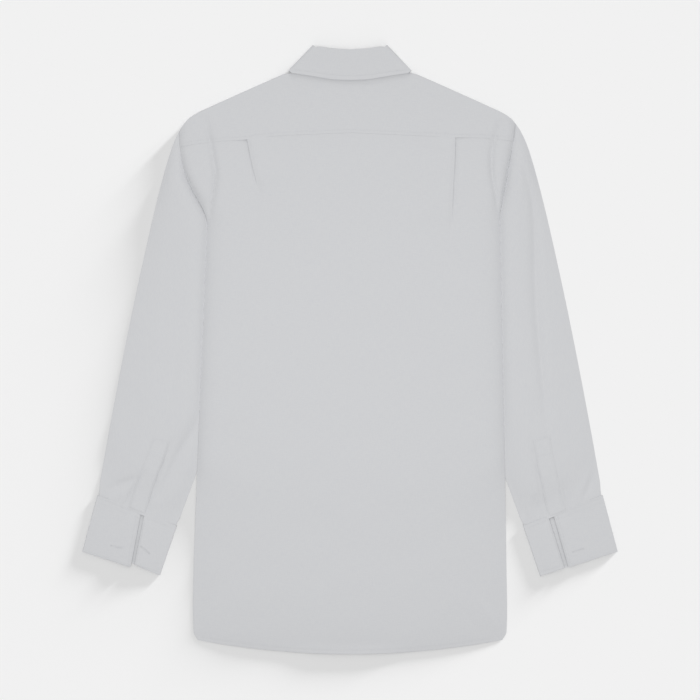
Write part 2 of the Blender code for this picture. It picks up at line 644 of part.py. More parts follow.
CUFF_INNER = (CLOTH * 1.5 + CUFF_TURN_WALL_GAP,
              CLOTH * 2.5 + CUFF_TURN_WALL_GAP + CUFF_OPEN_GAP)    # middles of the inner turn's walls
CUFF_OUTER = (CLOTH / 2, CUFF_INNER[1] + CLOTH + CUFF_TURN_WALL_GAP)
CUFF_PART_STEPS = 4            # columns in the outer part, and in each fold
CUFF_UNDER_STEPS = 6
CUFF_INNER_STEPS = 3
CUFF_TURN_ROWS = 3


def toward(start, end):
    # Unit direction and distance from one point to another
    length = math.dist(start, end)
    return ((end[0] - start[0]) / length, (end[1] - start[1]) / length), length


def cuff_stations(split_outer, split_inner):
    # From the outer part's free end over the outer fold, under, and up to the inner end
    parts, unders, inners = CUFF_PART_STEPS, CUFF_UNDER_STEPS, CUFF_INNER_STEPS
    top_outer = [(mix(split_outer, 1.0, k / parts), math.pi / 2) for k in range(parts)]
    outer_fold = [(1.0, math.pi * (0.5 - k / parts)) for k in range(parts)]
    under = [(1.0 - k / unders, -math.pi / 2) for k in range(unders)]
    inner_fold = [(0.0, -math.pi * (0.5 + k / parts)) for k in range(parts)]
    top_inner = [(mix(0.0, split_inner, k / inners), math.pi / 2) for k in range(inners + 1)]
    return top_outer + outer_fold + under + inner_fold + top_inner


def build_cuffs():
    centre = (CUFF_INNER[0] + CUFF_INNER[1]) / 2
    near = (CUFF_INNER[1] - CUFF_INNER[0]) / 2
    far = (CUFF_OUTER[1] - CUFF_OUTER[0]) / 2
    bend = (far - near) / 2
    inset = far + CLOTH / 2
    first, last = CUFF_INNER_ENDS
    inner_shares = (first, 0.5, last)
    outer_shares = (last, 0.65, 0.33, 0.0)
    turns = CUFF_TURN_ROWS
    wide_way, _ = toward(CUFF_TOP_INNER, CUFF_TOP_OUTER)
    for name, side in (("cuff_left", -1), ("cuff_right", 1)):
        split_outer, split_inner, inner_lift = {row[0]: row[1:] for row in CUFF_SPLIT}[side]
        stations = cuff_stations(split_outer, split_inner)
        inner_part = len(stations) - CUFF_INNER_STEPS - 1

        def place(column, row):
            across, turn = stations[column]
            if row < len(inner_shares):
                radius, down, beyond = near, inner_shares[row], 0.0
            elif row < len(inner_shares) + turns:
                angle = math.pi * (row - len(inner_shares) + 1) / (turns + 1)
                radius = near + bend - bend * math.cos(angle)
                down, beyond = last, bend * math.sin(angle)
            else:
                radius, down, beyond = far, outer_shares[row - len(inner_shares) - turns], 0.0
            top = mix_point(CUFF_TOP_INNER, CUFF_TOP_OUTER, across)
            down_way, long = toward(top, mix_point(CUFF_END_INNER, CUFF_END_OUTER, across))
            length = (long - CUFF_TURN_ROOM) * down + beyond
            if column >= inner_part:
                length -= inner_lift * smooth(across, 0.0, split_inner) * down
            out = abs(radius * math.cos(turn))
            push = out if across == 1.0 else -out if across == 0.0 else 0.0
            push += inset * (1.0 - 2.0 * across)
            x = top[0] + down_way[0] * length + wide_way[0] * push
            y = top[1] + down_way[1] * length + wide_way[1] * push
            return side * x, y, centre + radius * math.sin(turn)
        rows = len(inner_shares) + turns + len(outer_shares) - 1
        cloth(name, len(stations) - 1, rows, place)


# Buttons, sewn to the right front and lying on the floor under the placket

def build_button(name, y):
    bm = bmesh.new()
    bmesh.ops.create_cone(bm, cap_ends=True, segments=BUTTON_SIDES, radius1=BUTTON_DIAMETER / 2 * MM,
                          radius2=BUTTON_DIAMETER / 2 * MM, depth=BUTTON_THICKNESS * MM)
    piece = add_piece(name, bm, BUTTON_WHITE, BUTTON_ROUGHNESS)
    piece.location = Vector((0.0, y, BUTTON_THICKNESS / 2)) * MM
    bevel = piece.modifiers.new("rounded_rim", "BEVEL")
    bevel.width = BUTTON_RIM * MM
    bevel.segments = 1
    bevel.limit_method = "ANGLE"


def build_buttons():
    build_button("button_collar", COLLAR_BUTTON_Y)
    for number in range(BUTTON_COUNT):
        build_button(f"button_front_{number + 1}", BUTTON_FIRST_Y - BUTTON_SPACING * number)


for old in list(bpy.data.objects):
    bpy.data.objects.remove(old, do_unlink=True)
collection = bpy.data.collections.new("long_sleeve_dress_shirt")
bpy.context.scene.collection.children.link(collection)

build_back()
build_fronts()
build_front_placket()
build_yoke()
build_collar()
build_sleeves()
build_towers()
build_cuffs()
build_buttons()
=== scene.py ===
# Long sleeve dress shirt in white cotton, laid face down with its sleeves at its sides.
# Frame: +X to the wearer's right, +Y to the collar, +Z up, resting on Z = 0.
# Sizes are in millimetres, and mm() turns them into metres.

import bisect
import math

import bmesh
import bpy
import numpy as np
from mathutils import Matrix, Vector
from mathutils.bvhtree import BVHTree


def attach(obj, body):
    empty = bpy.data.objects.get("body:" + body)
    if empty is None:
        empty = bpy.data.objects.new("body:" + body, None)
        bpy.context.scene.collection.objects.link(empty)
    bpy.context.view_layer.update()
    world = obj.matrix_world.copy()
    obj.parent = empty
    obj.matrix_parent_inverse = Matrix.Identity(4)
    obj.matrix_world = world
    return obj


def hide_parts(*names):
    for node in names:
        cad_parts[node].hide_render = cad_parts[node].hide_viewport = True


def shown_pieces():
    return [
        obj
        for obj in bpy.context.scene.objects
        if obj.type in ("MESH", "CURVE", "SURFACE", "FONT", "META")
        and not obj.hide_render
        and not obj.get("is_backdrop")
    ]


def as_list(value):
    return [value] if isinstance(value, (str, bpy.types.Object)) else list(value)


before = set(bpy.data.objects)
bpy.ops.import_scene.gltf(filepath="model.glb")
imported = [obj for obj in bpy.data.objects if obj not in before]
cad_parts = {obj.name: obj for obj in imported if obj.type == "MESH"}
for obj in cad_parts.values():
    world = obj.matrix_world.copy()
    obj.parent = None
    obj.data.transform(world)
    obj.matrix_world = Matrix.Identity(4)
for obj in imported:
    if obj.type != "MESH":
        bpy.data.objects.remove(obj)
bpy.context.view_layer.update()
print("frame loaded")


# Small helpers

def mm(value):
    return value * 0.001


def hexColour(text):
    # sRGB hex to linear red, green, blue and alpha
    def linear(part):
        value = int(part, 16) / 255
        return value / 12.92 if value <= 0.04045 else ((value + 0.055) / 1.055) ** 2.4
    return (linear(text[1:3]), linear(text[3:5]), linear(text[5:7]), 1.0)


def smooth(value, start, end):
    # 0 before start, 1 after end, and an even S between them
    share = min(max((value - start) / (end - start), 0.0), 1.0)
    return share * share * (3.0 - 2.0 * share)


def mix(first, second, share):
    return first + (second - first) * share


def mixPoint(first, second, share):
    return tuple(mix(a, b, share) for a, b in zip(first, second))


def along(rows, place, column=1):
    # A table's column at a place between its rows, by a smooth curve through them
    if place <= rows[0][0]:
        return rows[0][column]
    if place >= rows[-1][0]:
        return rows[-1][column]
    at = bisect.bisect_right(rows, place, key=lambda row: row[0]) - 1
    here, there = rows[at], rows[at + 1]
    before, after = rows[max(at - 1, 0)], rows[min(at + 2, len(rows) - 1)]
    step = there[0] - here[0]
    share = (place - here[0]) / step
    slopeIn = (there[column] - before[column]) / (there[0] - before[0]) * step
    slopeOut = (after[column] - here[column]) / (after[0] - here[0]) * step
    return ((2 * share**3 - 3 * share**2 + 1) * here[column]
            + (share**3 - 2 * share**2 + share) * slopeIn
            + (3 * share**2 - 2 * share**3) * there[column]
            + (share**3 - share**2) * slopeOut)


def alongPath(points, share):
    # A point on a smooth curve through points, by their number
    rows = [(k,) + tuple(point) for k, point in enumerate(points)]
    place = share * (len(points) - 1)
    return tuple(along(rows, place, column) for column in range(1, len(rows[0])))


def steps(count, start=0.0, end=1.0):
    return [mix(start, end, k / count) for k in range(count + 1)]


def unit(way):
    size = math.hypot(*way)
    return way[0] / size, way[1] / size


weld = mm(0.01)                # points closer than this are one
cornerAngles = [math.radians(angle) for angle in (45, 135, 225, 315)]


# The lie of the shirt, shared by its pieces

lie = {
    "wall": 0.22,              # poplin
    "collarWall": 0.5,         # two plies and an interlining
    "gap": 0.08,
    "flatGap": 0.12,           # between the walls where a tube lies pressed
    "softGap": 9.8,            # more room between the walls away from the edges
    "armholeRound": 6.0,       # how far in from an edge the body rises: at the armholes,
    "sideRound": 12.0,         # beside the sleeves,
    "hemRound": 34.0,          # and below them
    "hemPress": 0.8,           # share of the loft that the hem loses,
    "collarPress": 0.35,       # that the collar presses away,
    "endLoft": 0.7,            # and that is left at the shoulders and low on the body
    "armholeY": (170.0, 230.0),        # where the sides pass into the armholes,
    "lowSideY": (150.0, 250.0),        # and, below the middle, leave the sleeves
    "shoulderY": (230.0, 300.0),       # where the body grows flatter: toward the shoulders,
    "lowY": (150.0, 290.0),            # below the middle toward the hem,
    "underCollarY": (345.0, 374.0),    # and toward the collar
    "climb": 70.0,             # width over which the body climbs onto the sleeve,
    "climbClear": 14.0,        # done this far before the sleeve begins
    "leaveSleeveY": (205.0, 270.0),    # below the middle, where it comes down again
    "climbCollarY": (232.0, 262.0),    # where it climbs onto the collar's points,
    "climbCollarX": (96.0, 130.0),     # and comes down beside them
    "frontStrip": (22.0, 68.0),        # from the centre: flat over the buttons, then down
    "backStrip": (30.0, 100.0),
    "buttonsEndY": (345.0, 370.0),
    "clear": 0.05,             # a little more room over something thick,
    "buttonClear": 0.5,        # and between the back and the buttons
    "buttonThick": 2.0,
    "neckPoint": 75.0,         # where the shoulder meets the neck seam
    "placketWidth": 35.0,
    "hemY": -425.4,
    "hemRise": 19.5,           # higher at the side seams
    "hemHalf": 213.0,
    "sleeveTuck": 8.0,         # armhole edge of the sleeve, inside the edge of the body
}

shoulderLine = (               # x, y of the outline from the neck over the shoulder to the sleeve
    (60.0, 397.0), (75.0, 390.8), (84.0, 387.4), (93.0, 385.8), (205.0, 335.6), (218.4, 328.6),
    (224.3, 324.4), (230.0, 318.8), (236.4, 310.4), (240.5, 303.4), (245.1, 293.6))
sleeveOuter = (                # y, x
    (-203.5, 353.3), (-98.3, 334.5), (41.6, 307.4), (153.6, 283.2), (209.6, 270.0),
    (251.6, 259.0), (279.6, 250.5), (293.6, 245.1), (303.4, 240.5), (310.4, 236.4),
    (318.8, 230.0), (324.4, 224.3))
bodyEdges = (                  # y, left x, right x
    (-406.5, 212.5, 212.5), (-396.0, 218.8, 218.8), (-308.0, 218.8, 218.8),
    (-175.0, 213.9, 216.7), (-70.0, 209.7, 214.6), (150.0, 200.5, 210.4),
    (178.0, 200.0, 209.5), (191.4, 204.0, 210.0), (208.3, 212.5, 213.2),
    (223.6, 220.8, 216.3), (240.5, 228.6, 219.5), (260.0, 234.0, 222.5),
    (279.6, 237.0, 226.0), (292.0, 238.0, 228.4), (316.0, 239.0, 231.4))
yokeSeam = (                   # x, y
    (-238.0, 284.5), (-190.0, 291.0), (-150.0, 293.5), (-111.0, 298.5), (-42.0, 302.0),
    (0.0, 303.5), (42.0, 302.0), (118.0, 298.5), (147.0, 297.0), (190.0, 296.0),
    (228.4, 292.0))
frontTop = (                   # x, y: front neckline, then the front yoke seam
    (0.0, 314.0), (25.0, 317.0), (45.0, 327.0), (60.0, 342.0), (69.0, 357.5),
    (76.0, 354.5), (228.0, 283.0), (240.0, 277.5))
underarm = (120.0, 80.0)       # where the sleeve's inner fold starts, hidden by the body


def bodyEdge(side, y):
    return along(bodyEdges, y, 1 if side < 0 else 2)


def hemY(x):
    return lie["hemY"] + lie["hemRise"] * (x / lie["hemHalf"]) ** 2


def hiddenSleeveX(side, y):
    # Inner boundary of the sleeve under the body, at a height
    underarmTop = 185.0
    tucked = bodyEdge(side, max(y, underarmTop)) - lie["sleeveTuck"]
    if y > underarmTop:
        return tucked
    if y > underarm[1]:
        return mix(tucked, underarm[0], (underarmTop - y) / (underarmTop - underarm[1]))
    slope = (cuff["topInner"][0] - underarm[0]) / (underarm[1] - cuff["topInner"][1])
    return underarm[0] + (underarm[1] - y) * slope


def bodyBase(x, y):
    # Height of the front panels' underside: they lie on the floor, over the sleeves'
    # inner parts and over the collar points
    side = -1 if x < 0 else 1
    inner = hiddenSleeveX(side, y) - lie["climbClear"]
    overSleeve = 2 * lie["wall"] + lie["flatGap"] + 2 * lie["gap"]
    overCollar = lie["collarWall"] + lie["gap"] + lie["clear"]
    onSleeve = smooth(abs(x), inner - lie["climb"], inner)
    onSleeve *= 1.0 - smooth(-y, *lie["leaveSleeveY"])
    onCollar = smooth(y, *lie["climbCollarY"]) * (1.0 - smooth(abs(x), *lie["climbCollarX"]))
    return overSleeve * onSleeve + overCollar * onCollar


def room(x, y):
    # From the middle of the front's wall to the middle of the back's
    side = -1 if x < 0 else 1
    fromEdge = max(bodyEdge(side, y) - abs(x), 0.0)
    fromHem = max(y - hemY(x), 0.0)
    sideRound = mix(lie["sideRound"], lie["armholeRound"], smooth(y, *lie["armholeY"]))
    sideRound = mix(sideRound, lie["hemRound"], smooth(-y, *lie["lowSideY"]))
    loft = 1.0 - math.exp(-fromEdge / sideRound)
    loft *= 1.0 - lie["hemPress"] * math.exp(-fromHem / lie["hemRound"])
    loft *= (mix(1.0, lie["endLoft"], smooth(y, *lie["shoulderY"]))
             * mix(1.0, lie["endLoft"], smooth(-y, *lie["lowY"])))
    loft *= 1.0 - lie["collarPress"] * smooth(y, *lie["underCollarY"])
    return lie["wall"] + lie["flatGap"] + lie["softGap"] * loft


def centreStrip(x, flat, wide):
    # 1 over the buttons, and 0 beside them
    return 1.0 - smooth(abs(x), flat, wide)


def frontMiddle(x, y, side):
    # The left front lies under the right one at the centre front
    overButton = lie["buttonThick"] + 2 * lie["gap"] + lie["wall"]
    if side > 0:
        overButton += lie["wall"] + lie["gap"]
    beside = bodyBase(x, y)
    lift = centreStrip(x, *lie["frontStrip"]) * (overButton - beside)
    return beside + max(lift, 0.0) + lie["wall"] / 2


def backMiddle(x, y):
    low = bodyBase(x, y) + lie["wall"] / 2 + room(x, y)
    overButtons = lie["buttonThick"] + 3 * (lie["wall"] + lie["gap"]) + lie["wall"] / 2
    overButtons += lie["flatGap"] + lie["buttonClear"]
    share = centreStrip(x, *lie["backStrip"]) * (1.0 - smooth(y, *lie["buttonsEndY"]))
    return low + max(overButtons - low, 0.0) * share


# Creases: each is a soft trough or ridge along its own points, fading at both ends

creaseForm = {
    "steps": 14,               # straight runs in a crease's curve
    "fadePower": 0.9,          # a lower one keeps it deep nearer its ends
    "roundness": 0.12,         # of its bottom, as a share of its width
}


def creaseHeights(xs, ys, creases):
    heights = np.zeros_like(xs)
    for height, leftWidth, rightWidth, points in creases:
        line = [alongPath(points, share) for share in steps(creaseForm["steps"])]
        lengths = [math.dist(a, b) for a, b in zip(line, line[1:])]
        nearest = np.full_like(xs, 1e6)
        place = np.zeros_like(xs)
        onLeft = np.zeros_like(xs, dtype=bool)
        passed = 0.0
        for (x0, y0), (x1, y1), length in zip(line, line[1:], lengths):
            wayX, wayY = (x1 - x0) / length, (y1 - y0) / length
            forward = np.clip((xs - x0) * wayX + (ys - y0) * wayY, 0.0, length)
            offX, offY = xs - x0 - forward * wayX, ys - y0 - forward * wayY
            distance = np.hypot(offX, offY)
            nearer = distance < nearest
            nearest = np.where(nearer, distance, nearest)
            place = np.where(nearer, (passed + forward) / sum(lengths), place)
            onLeft = np.where(nearer, wayX * offY - wayY * offX > 0.0, onLeft)
            passed += length
        width = np.where(onLeft, leftWidth, rightWidth)
        fade = np.sin(np.pi * np.clip(place, 0.0, 1.0)) ** creaseForm["fadePower"]
        rounded = creaseForm["roundness"] * width
        heights += height * fade * np.exp((rounded - np.hypot(nearest, rounded)) / width)
    return heights


def restlessHeights(xs, ys, size):
    # Slow uneven waves of cloth that was pressed and then handled
    waves = (                  # length, direction, start
        (96.0, 0.35, 0.4), (71.0, 1.25, 2.1), (58.0, 2.20, 4.0), (133.0, 2.75, 1.2))
    sway, swayLength = 0.8, 2.3        # how far the crests bend, and over how many lengths
    heights = np.zeros_like(xs)
    for length, direction, start in waves:
        across = xs * math.cos(direction) + ys * math.sin(direction)
        bend = sway * np.sin(2 * math.pi * (ys * math.cos(direction) - xs * math.sin(direction))
                             / (swayLength * length))
        heights += np.sin(2 * math.pi * across / length + bend + start)
    return heights * size / len(waves)


# Sheets

def addPiece(name, bm, nodes, finish):
    mesh = bpy.data.meshes.new(name)
    bm.to_mesh(mesh)
    bm.free()
    mesh.materials.append(finish)
    mesh.shade_smooth()
    piece = bpy.data.objects.new(name, mesh)
    bpy.context.scene.collection.objects.link(piece)
    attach(piece, "root")
    if nodes:
        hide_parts(*nodes)
    return piece


def clothGrid(columns, rows, place):
    # place(column, row) gives x, y, height, the share of the creases there, and the
    # least height that they may press it down to
    return np.array([[place(column, row) for column in range(columns + 1)]
                     for row in range(rows + 1)])


def withBorders(points, closed):
    # A narrow strip beside each free edge, so that the cloth is shaded flat right up to it
    narrow = 0.25
    for axis in (0, 1):
        if axis == 1 and closed:
            break
        points = np.moveaxis(points, axis, 0)
        strips = []
        for edge, inner in ((points[0], points[1]), (points[-1], points[-2])):
            apart = np.linalg.norm((inner - edge)[:, :3], axis=1, keepdims=True)
            strips.append(edge + (inner - edge) * np.minimum(narrow / np.maximum(apart, 1e-6), 0.5))
        points = np.concatenate((points[:1], strips[0][None], points[1:-1], strips[1][None], points[-1:]))
        points = np.moveaxis(points, 0, axis)
    return points


def addCloth(name, node, points, creases=(), wall=None, closed=False, keep=None, restless=0.35):
    # A grid of points made one creased sheet with a wall: closed joins its first and last
    # columns, and keep(column, row) says which of its cells it has
    points = withBorders(points, closed)
    rows, columns = points.shape[0] - 1, points.shape[1] - 1
    xs, ys, heights, share = (points[:, :, k].copy() for k in range(4))
    creased = heights + share * (creaseHeights(xs, ys, creases) + restlessHeights(xs, ys, restless))
    if points.shape[2] > 4:
        spare = np.maximum(heights - points[:, :, 4], 1e-6)
        down = np.minimum(creased - heights, 0.0)
        creased = np.maximum(creased, heights) + spare * np.tanh(down / spare)
    heights = creased
    across = np.zeros_like(xs)
    across[:, 1:] = np.cumsum(np.hypot(np.diff(xs, axis=1), np.diff(heights, axis=1)), axis=1)
    across -= across[:, -1:] / 2
    down = np.zeros_like(xs)
    down[1:, :] = np.cumsum(np.hypot(np.diff(ys, axis=0), np.diff(heights, axis=0)), axis=0)

    bm = bmesh.new()
    bmesh.ops.create_grid(bm, x_segments=columns, y_segments=rows, size=0.5)
    bm.verts.ensure_lookup_table()
    cells = {vert: (round((vert.co.x + 0.5) * columns), round((vert.co.y + 0.5) * rows))
             for vert in bm.verts}
    if keep:
        dropped = []
        for face in bm.faces:
            column = min(cells[vert][0] for vert in face.verts)
            row = min(cells[vert][1] for vert in face.verts)
            if not keep(column - 1, row - 1):
                dropped.append(face)
        bmesh.ops.delete(bm, geom=dropped, context="FACES")
    threads = bm.loops.layers.uv.new("threads")
    for vert in bm.verts:
        column, row = cells[vert]
        vert.co = Vector((xs[row, column], ys[row, column], heights[row, column])) * mm(1)
        for loop in vert.link_loops:
            loop[threads].uv = (mm(across[row, column]), mm(down[row, column]))
    if closed:
        bmesh.ops.remove_doubles(bm, verts=bm.verts, dist=weld)
    bmesh.ops.recalc_face_normals(bm, faces=bm.faces)
    piece = addPiece(name, bm, [node], poplin)
    solidify = piece.modifiers.new("wall", "SOLIDIFY")
    solidify.thickness = mm(wall or lie["wall"])
    solidify.offset = 0.0
    return piece


def surfaceOf(*pieces):
    # For finding the height of what has been built
    depsgraph = bpy.context.evaluated_depsgraph_get()
    return [BVHTree.FromObject(piece, depsgraph) for piece in pieces]


def heightAt(surfaces, x, y, fromBelow=False):
    # Height in millimetres of the outermost surface at a place, or None beside it
    away = mm(50)
    start = -away if fromBelow else away
    way = Vector((0, 0, 1 if fromBelow else -1))
    best = None
    for surface in surfaces:
        hit = surface.ray_cast(Vector((mm(x), mm(y), start)), way)[0]
        if hit and (best is None or (hit.z < best if fromBelow else hit.z > best)):
            best = hit.z
    return None if best is None else best * 1000


# Materials

def addNode(tree, kind, settings=(), links=()):
    # A node with its settings, and links from (node, output) to its inputs
    node = tree.nodes.new(kind)
    for name, value in dict(settings).items():
        if name in node.inputs:
            node.inputs[name].default_value = value
        else:
            setattr(node, name, value)
    for target, (source, output) in dict(links).items():
        tree.links.new(source.outputs[output], node.inputs[target])
    return node


def newMaterial(name, settings):
    material = bpy.data.materials.new(name)
    material.use_nodes = True
    shader = material.node_tree.nodes["Principled BSDF"]
    for key, value in settings.items():
        shader.inputs[key].default_value = value
    return material, material.node_tree, shader


poplinLook = {
    "colour": "#D4D5D7",
    "shade": "#D1D2D5",        # of the slightly uneven threads
    "threadMm": 0.5,           # the real threads lie 0.2 mm apart, too fine to show
    "threadHeightMm": 0.03,
    "slubMm": 9.0,             # length of a thicker stretch of thread
    "creaseMm": 26.0,          # size of the faint wrinkles that handling leaves
}


def makePoplin():
    # Cotton poplin, plain woven and pressed: matt, with a faint sheen of fibre ends, and
    # fine ribs where warp and weft cross
    look = poplinLook
    material, tree, shader = newMaterial("cottonPoplin", {
        "Roughness": 0.82, "Specular IOR Level": 0.28, "Sheen Weight": 0.10,
        "Sheen Roughness": 0.45})
    threads = addNode(tree, "ShaderNodeUVMap", {"uv_map": "threads"})
    apart = addNode(tree, "ShaderNodeSeparateXYZ", links={"Vector": (threads, "UV")})
    turns = math.pi / mm(look["threadMm"])
    ribs = []
    for axis in ("X", "Y"):
        turned = addNode(tree, "ShaderNodeMath", {"operation": "MULTIPLY"})
        turned.inputs[1].default_value = turns
        tree.links.new(apart.outputs[axis], turned.inputs[0])
        rib = addNode(tree, "ShaderNodeMath", {"operation": "SINE"})
        tree.links.new(turned.outputs[0], rib.inputs[0])
        ribs.append(rib)
    weave = addNode(tree, "ShaderNodeMath", {"operation": "MULTIPLY"})
    tree.links.new(ribs[0].outputs[0], weave.inputs[0])
    tree.links.new(ribs[1].outputs[0], weave.inputs[1])
    wrinkles = addNode(tree, "ShaderNodeTexNoise", {
        "Scale": 1 / mm(look["creaseMm"]), "Detail": 3.0, "Roughness": 0.55},
        {"Vector": (threads, "UV")})
    weaveBump = addNode(tree, "ShaderNodeBump", {
        "Strength": 0.35, "Distance": mm(look["threadHeightMm"])}, {"Height": (weave, 0)})
    wrinkleBump = addNode(tree, "ShaderNodeBump", {"Strength": 0.08, "Distance": mm(0.7)},
                          {"Height": (wrinkles, "Fac"), "Normal": (weaveBump, "Normal")})
    tree.links.new(wrinkleBump.outputs["Normal"], shader.inputs["Normal"])

    # Slubs: thicker stretches of thread, long one way and thin the other
    tints = []
    for wide, long in ((1.0, look["slubMm"]), (look["slubMm"], 1.0)):
        stretched = addNode(tree, "ShaderNodeMapping", {"Scale": (
            1 / mm(wide), 1 / mm(long), 1.0)}, {"Vector": (threads, "UV")})
        tints.append(addNode(tree, "ShaderNodeTexNoise", {"Scale": 1.0, "Detail": 1.0},
                             {"Vector": (stretched, "Vector")}))
    both = addNode(tree, "ShaderNodeMath", {"operation": "MULTIPLY"})
    tree.links.new(tints[0].outputs["Fac"], both.inputs[0])
    tree.links.new(tints[1].outputs["Fac"], both.inputs[1])
    ramp = addNode(tree, "ShaderNodeValToRGB", links={"Fac": (both, 0)})
    ramp.color_ramp.elements[0].position = 0.10
    ramp.color_ramp.elements[0].color = hexColour(look["shade"])
    ramp.color_ramp.elements[1].position = 0.32
    ramp.color_ramp.elements[1].color = hexColour(look["colour"])
    tree.links.new(ramp.outputs["Color"], shader.inputs["Base Color"])
    return material


def makeThread():
    # Spun polyester sewing thread: two fine plies twisted together, with a low gleam
    material, tree, shader = newMaterial("spunPolyesterThread", {
        "Base Color": hexColour("#DADBDD"), "Roughness": 0.55, "Specular IOR Level": 0.4,
        "Sheen Weight": 0.05})
    place = addNode(tree, "ShaderNodeTexCoord")
    plies = addNode(tree, "ShaderNodeTexNoise", {"Scale": 1 / mm(0.5), "Detail": 2.0},
                    {"Vector": (place, "Object")})
    bump = addNode(tree, "ShaderNodeBump", {"Strength": 0.4, "Distance": mm(0.05)},
                   {"Height": (plies, "Fac")})
    tree.links.new(bump.outputs["Normal"], shader.inputs["Normal"])
    ramp = addNode(tree, "ShaderNodeValToRGB", links={"Fac": (plies, "Fac")})
    ramp.color_ramp.elements[0].position = 0.3
    ramp.color_ramp.elements[0].color = hexColour("#CDCED1")
    ramp.color_ramp.elements[1].position = 0.7
    ramp.color_ramp.elements[1].color = hexColour("#DEDFE1")
    tree.links.new(ramp.outputs["Color"], shader.inputs["Base Color"])
    return material


def makeButtonResin():
    # Cast polyester resin with a mother-of-pearl effect, turned and tumbled to a polish
    material, tree, shader = newMaterial("pearlPolyesterResin", {
        "Roughness": 0.22, "Specular IOR Level": 0.5, "Coat Weight": 0.3,
        "Coat Roughness": 0.1})
    place = addNode(tree, "ShaderNodeTexCoord")
    clouds = addNode(tree, "ShaderNodeTexNoise", {
        "Scale": 1 / mm(4.0), "Detail": 3.0, "Distortion": 2.5}, {"Vector": (place, "Object")})
    ramp = addNode(tree, "ShaderNodeValToRGB", links={"Fac": (clouds, "Fac")})
    ramp.color_ramp.elements[0].position = 0.35
    ramp.color_ramp.elements[0].color = hexColour("#D4D4D0")
    ramp.color_ramp.elements[1].position = 0.65
    ramp.color_ramp.elements[1].color = hexColour("#ECEBE6")
    tree.links.new(ramp.outputs["Color"], shader.inputs["Base Color"])
    ripple = addNode(tree, "ShaderNodeBump", {"Strength": 0.15, "Distance": mm(0.1)},
                     {"Height": (clouds, "Fac")})
    tree.links.new(ripple.outputs["Normal"], shader.inputs["Normal"])
    return material


poplin = makePoplin()
thread = makeThread()
resin = makeButtonResin()
print("materials made")


# Body panels

pleat = {
    "depth": 20.0,             # cloth folded under at the yoke seam
    "least": 0.8,              # what is folded under where it starts to open out
    "open": 14.0,              # length of each bend where it lies open
    "step": 0.32,              # from one layer of the pleat to the next
    "roll": 1.6,               # how much its folded edge rolls down,
    "dip": 1.0,                # and the cloth beyond it
    "bendSteps": 6,
    "underSteps": 5,
    "seamLap": 6.0,            # the panel passes up under the yoke by this
    "liftWidth": 60.0,         # how far toward the centre the fold holds the cloth up
    "ends": {-1: 212.0, 1: 166.0},     # y where the left and right one have opened out
    "seamX": 147.0,            # where it meets the yoke seam
    "underEnd": 0.5,           # share of the way down where no more is folded under,
    "unfolds": (0.45, 1.0),    # where it turns open,
    "widens": (0.9, 2.2),      # and where its bends grow long
    "holdsUp": 2.0,            # the cloth beside the fold is level this far
    "rollFull": 6.5,           # the rolled edge is highest this far in from the fold,
    "rollEnds": (10.0, 36.0),  # and sinks again here
    "dipPlace": 1.5,           # middle of the dip beyond the fold,
    "dipWidth": 4.0,
    "dipClear": 3.0,           # full this far past the cloth folded under
    "seamFade": 14.0,          # roll and dip grow over this length below the seam,
    "endFade": (22.0, 46.0),   # and fade from this far above the opened end over this length
}
pleatFold = (                  # y, left x, right x of the folded edge
    (170.0, 122.0, 142.0), (221.0, 129.0, 144.0), (252.0, 137.0, 146.0), (298.0, 146.3, 147.7))

backCreases = (                # height, width on its left, width on its right, points (x, y)
    (-6.6, 3.6, 4.0, ((-203, 330), (-197, 302), (-192, 272), (-188, 245), (-192, 212), (-199, 176))),
    (-0.9, 3.0, 3.0, ((-207, 262), (-204, 248), (-199, 230), (-195, 212))),
    (-6.4, 3.6, 4.0, ((211, 326), (206, 306), (199, 284), (198, 258), (200, 236), (205, 210),
                      (210, 180))),
    (-1.2, 2.5, 2.5, ((213, 328), (214, 312), (215, 292))),
    (0.8, 13.0, 14.0, ((80, 318), (106, 310), (132, 304))),
    (-1.6, 13.0, 8.0, ((70, 290), (98, 281), (128, 274), (142, 272))),
    (-0.7, 14.0, 12.0, ((-70, 290), (-40, 283), (-10, 284))),
    (0.6, 12.0, 14.0, ((-96, 322), (-120, 312), (-150, 308))),
    (0.9, 22.0, 34.0, ((-60, 230), (-52, 60), (-70, -90), (-64, -200))),
    (-0.9, 36.0, 26.0, ((70, 190), (86, 20), (78, -120), (90, -220))),
    (0.9, 34.0, 26.0, ((-150, 130), (-128, -60), (-138, -230), (-120, -300))),
    (-0.8, 26.0, 34.0, ((150, 20), (128, -170), (140, -300))),
    (0.9, 7.0, 12.0, ((172, -338), (196, -372), (216, -398))),
    (-0.7, 8.0, 8.0, ((150, -352), (176, -388), (190, -410))),
    (0.6, 14.0, 10.0, ((-180, -330), (-196, -372), (-204, -402))),
)


def pleatPoints(x, under, turn, bendLength):
    # Knife pleat from its top layer to its bottom one, as (x, height): a bend, the cloth
    # folded under, and a bend back. At a turn of pi it lies folded flat, at 0 it is open.
    count = pleat["bendSteps"]
    chord = bendLength / count
    headings = [-(k + 0.5) / count for k in range(count)]
    moves = [(chord, turn * heading) for heading in headings]
    moves += [(under / pleat["underSteps"], -turn)] * pleat["underSteps"]
    moves += [(chord, turn * heading) for heading in reversed(headings)]
    points = [(x, 0.0)]
    for length, heading in moves:
        points.append((points[-1][0] + length * math.cos(heading),
                       points[-1][1] + length * math.sin(heading)))
    drop = -points[-1][1]
    return [(place, height + drop) for place, height in points], drop


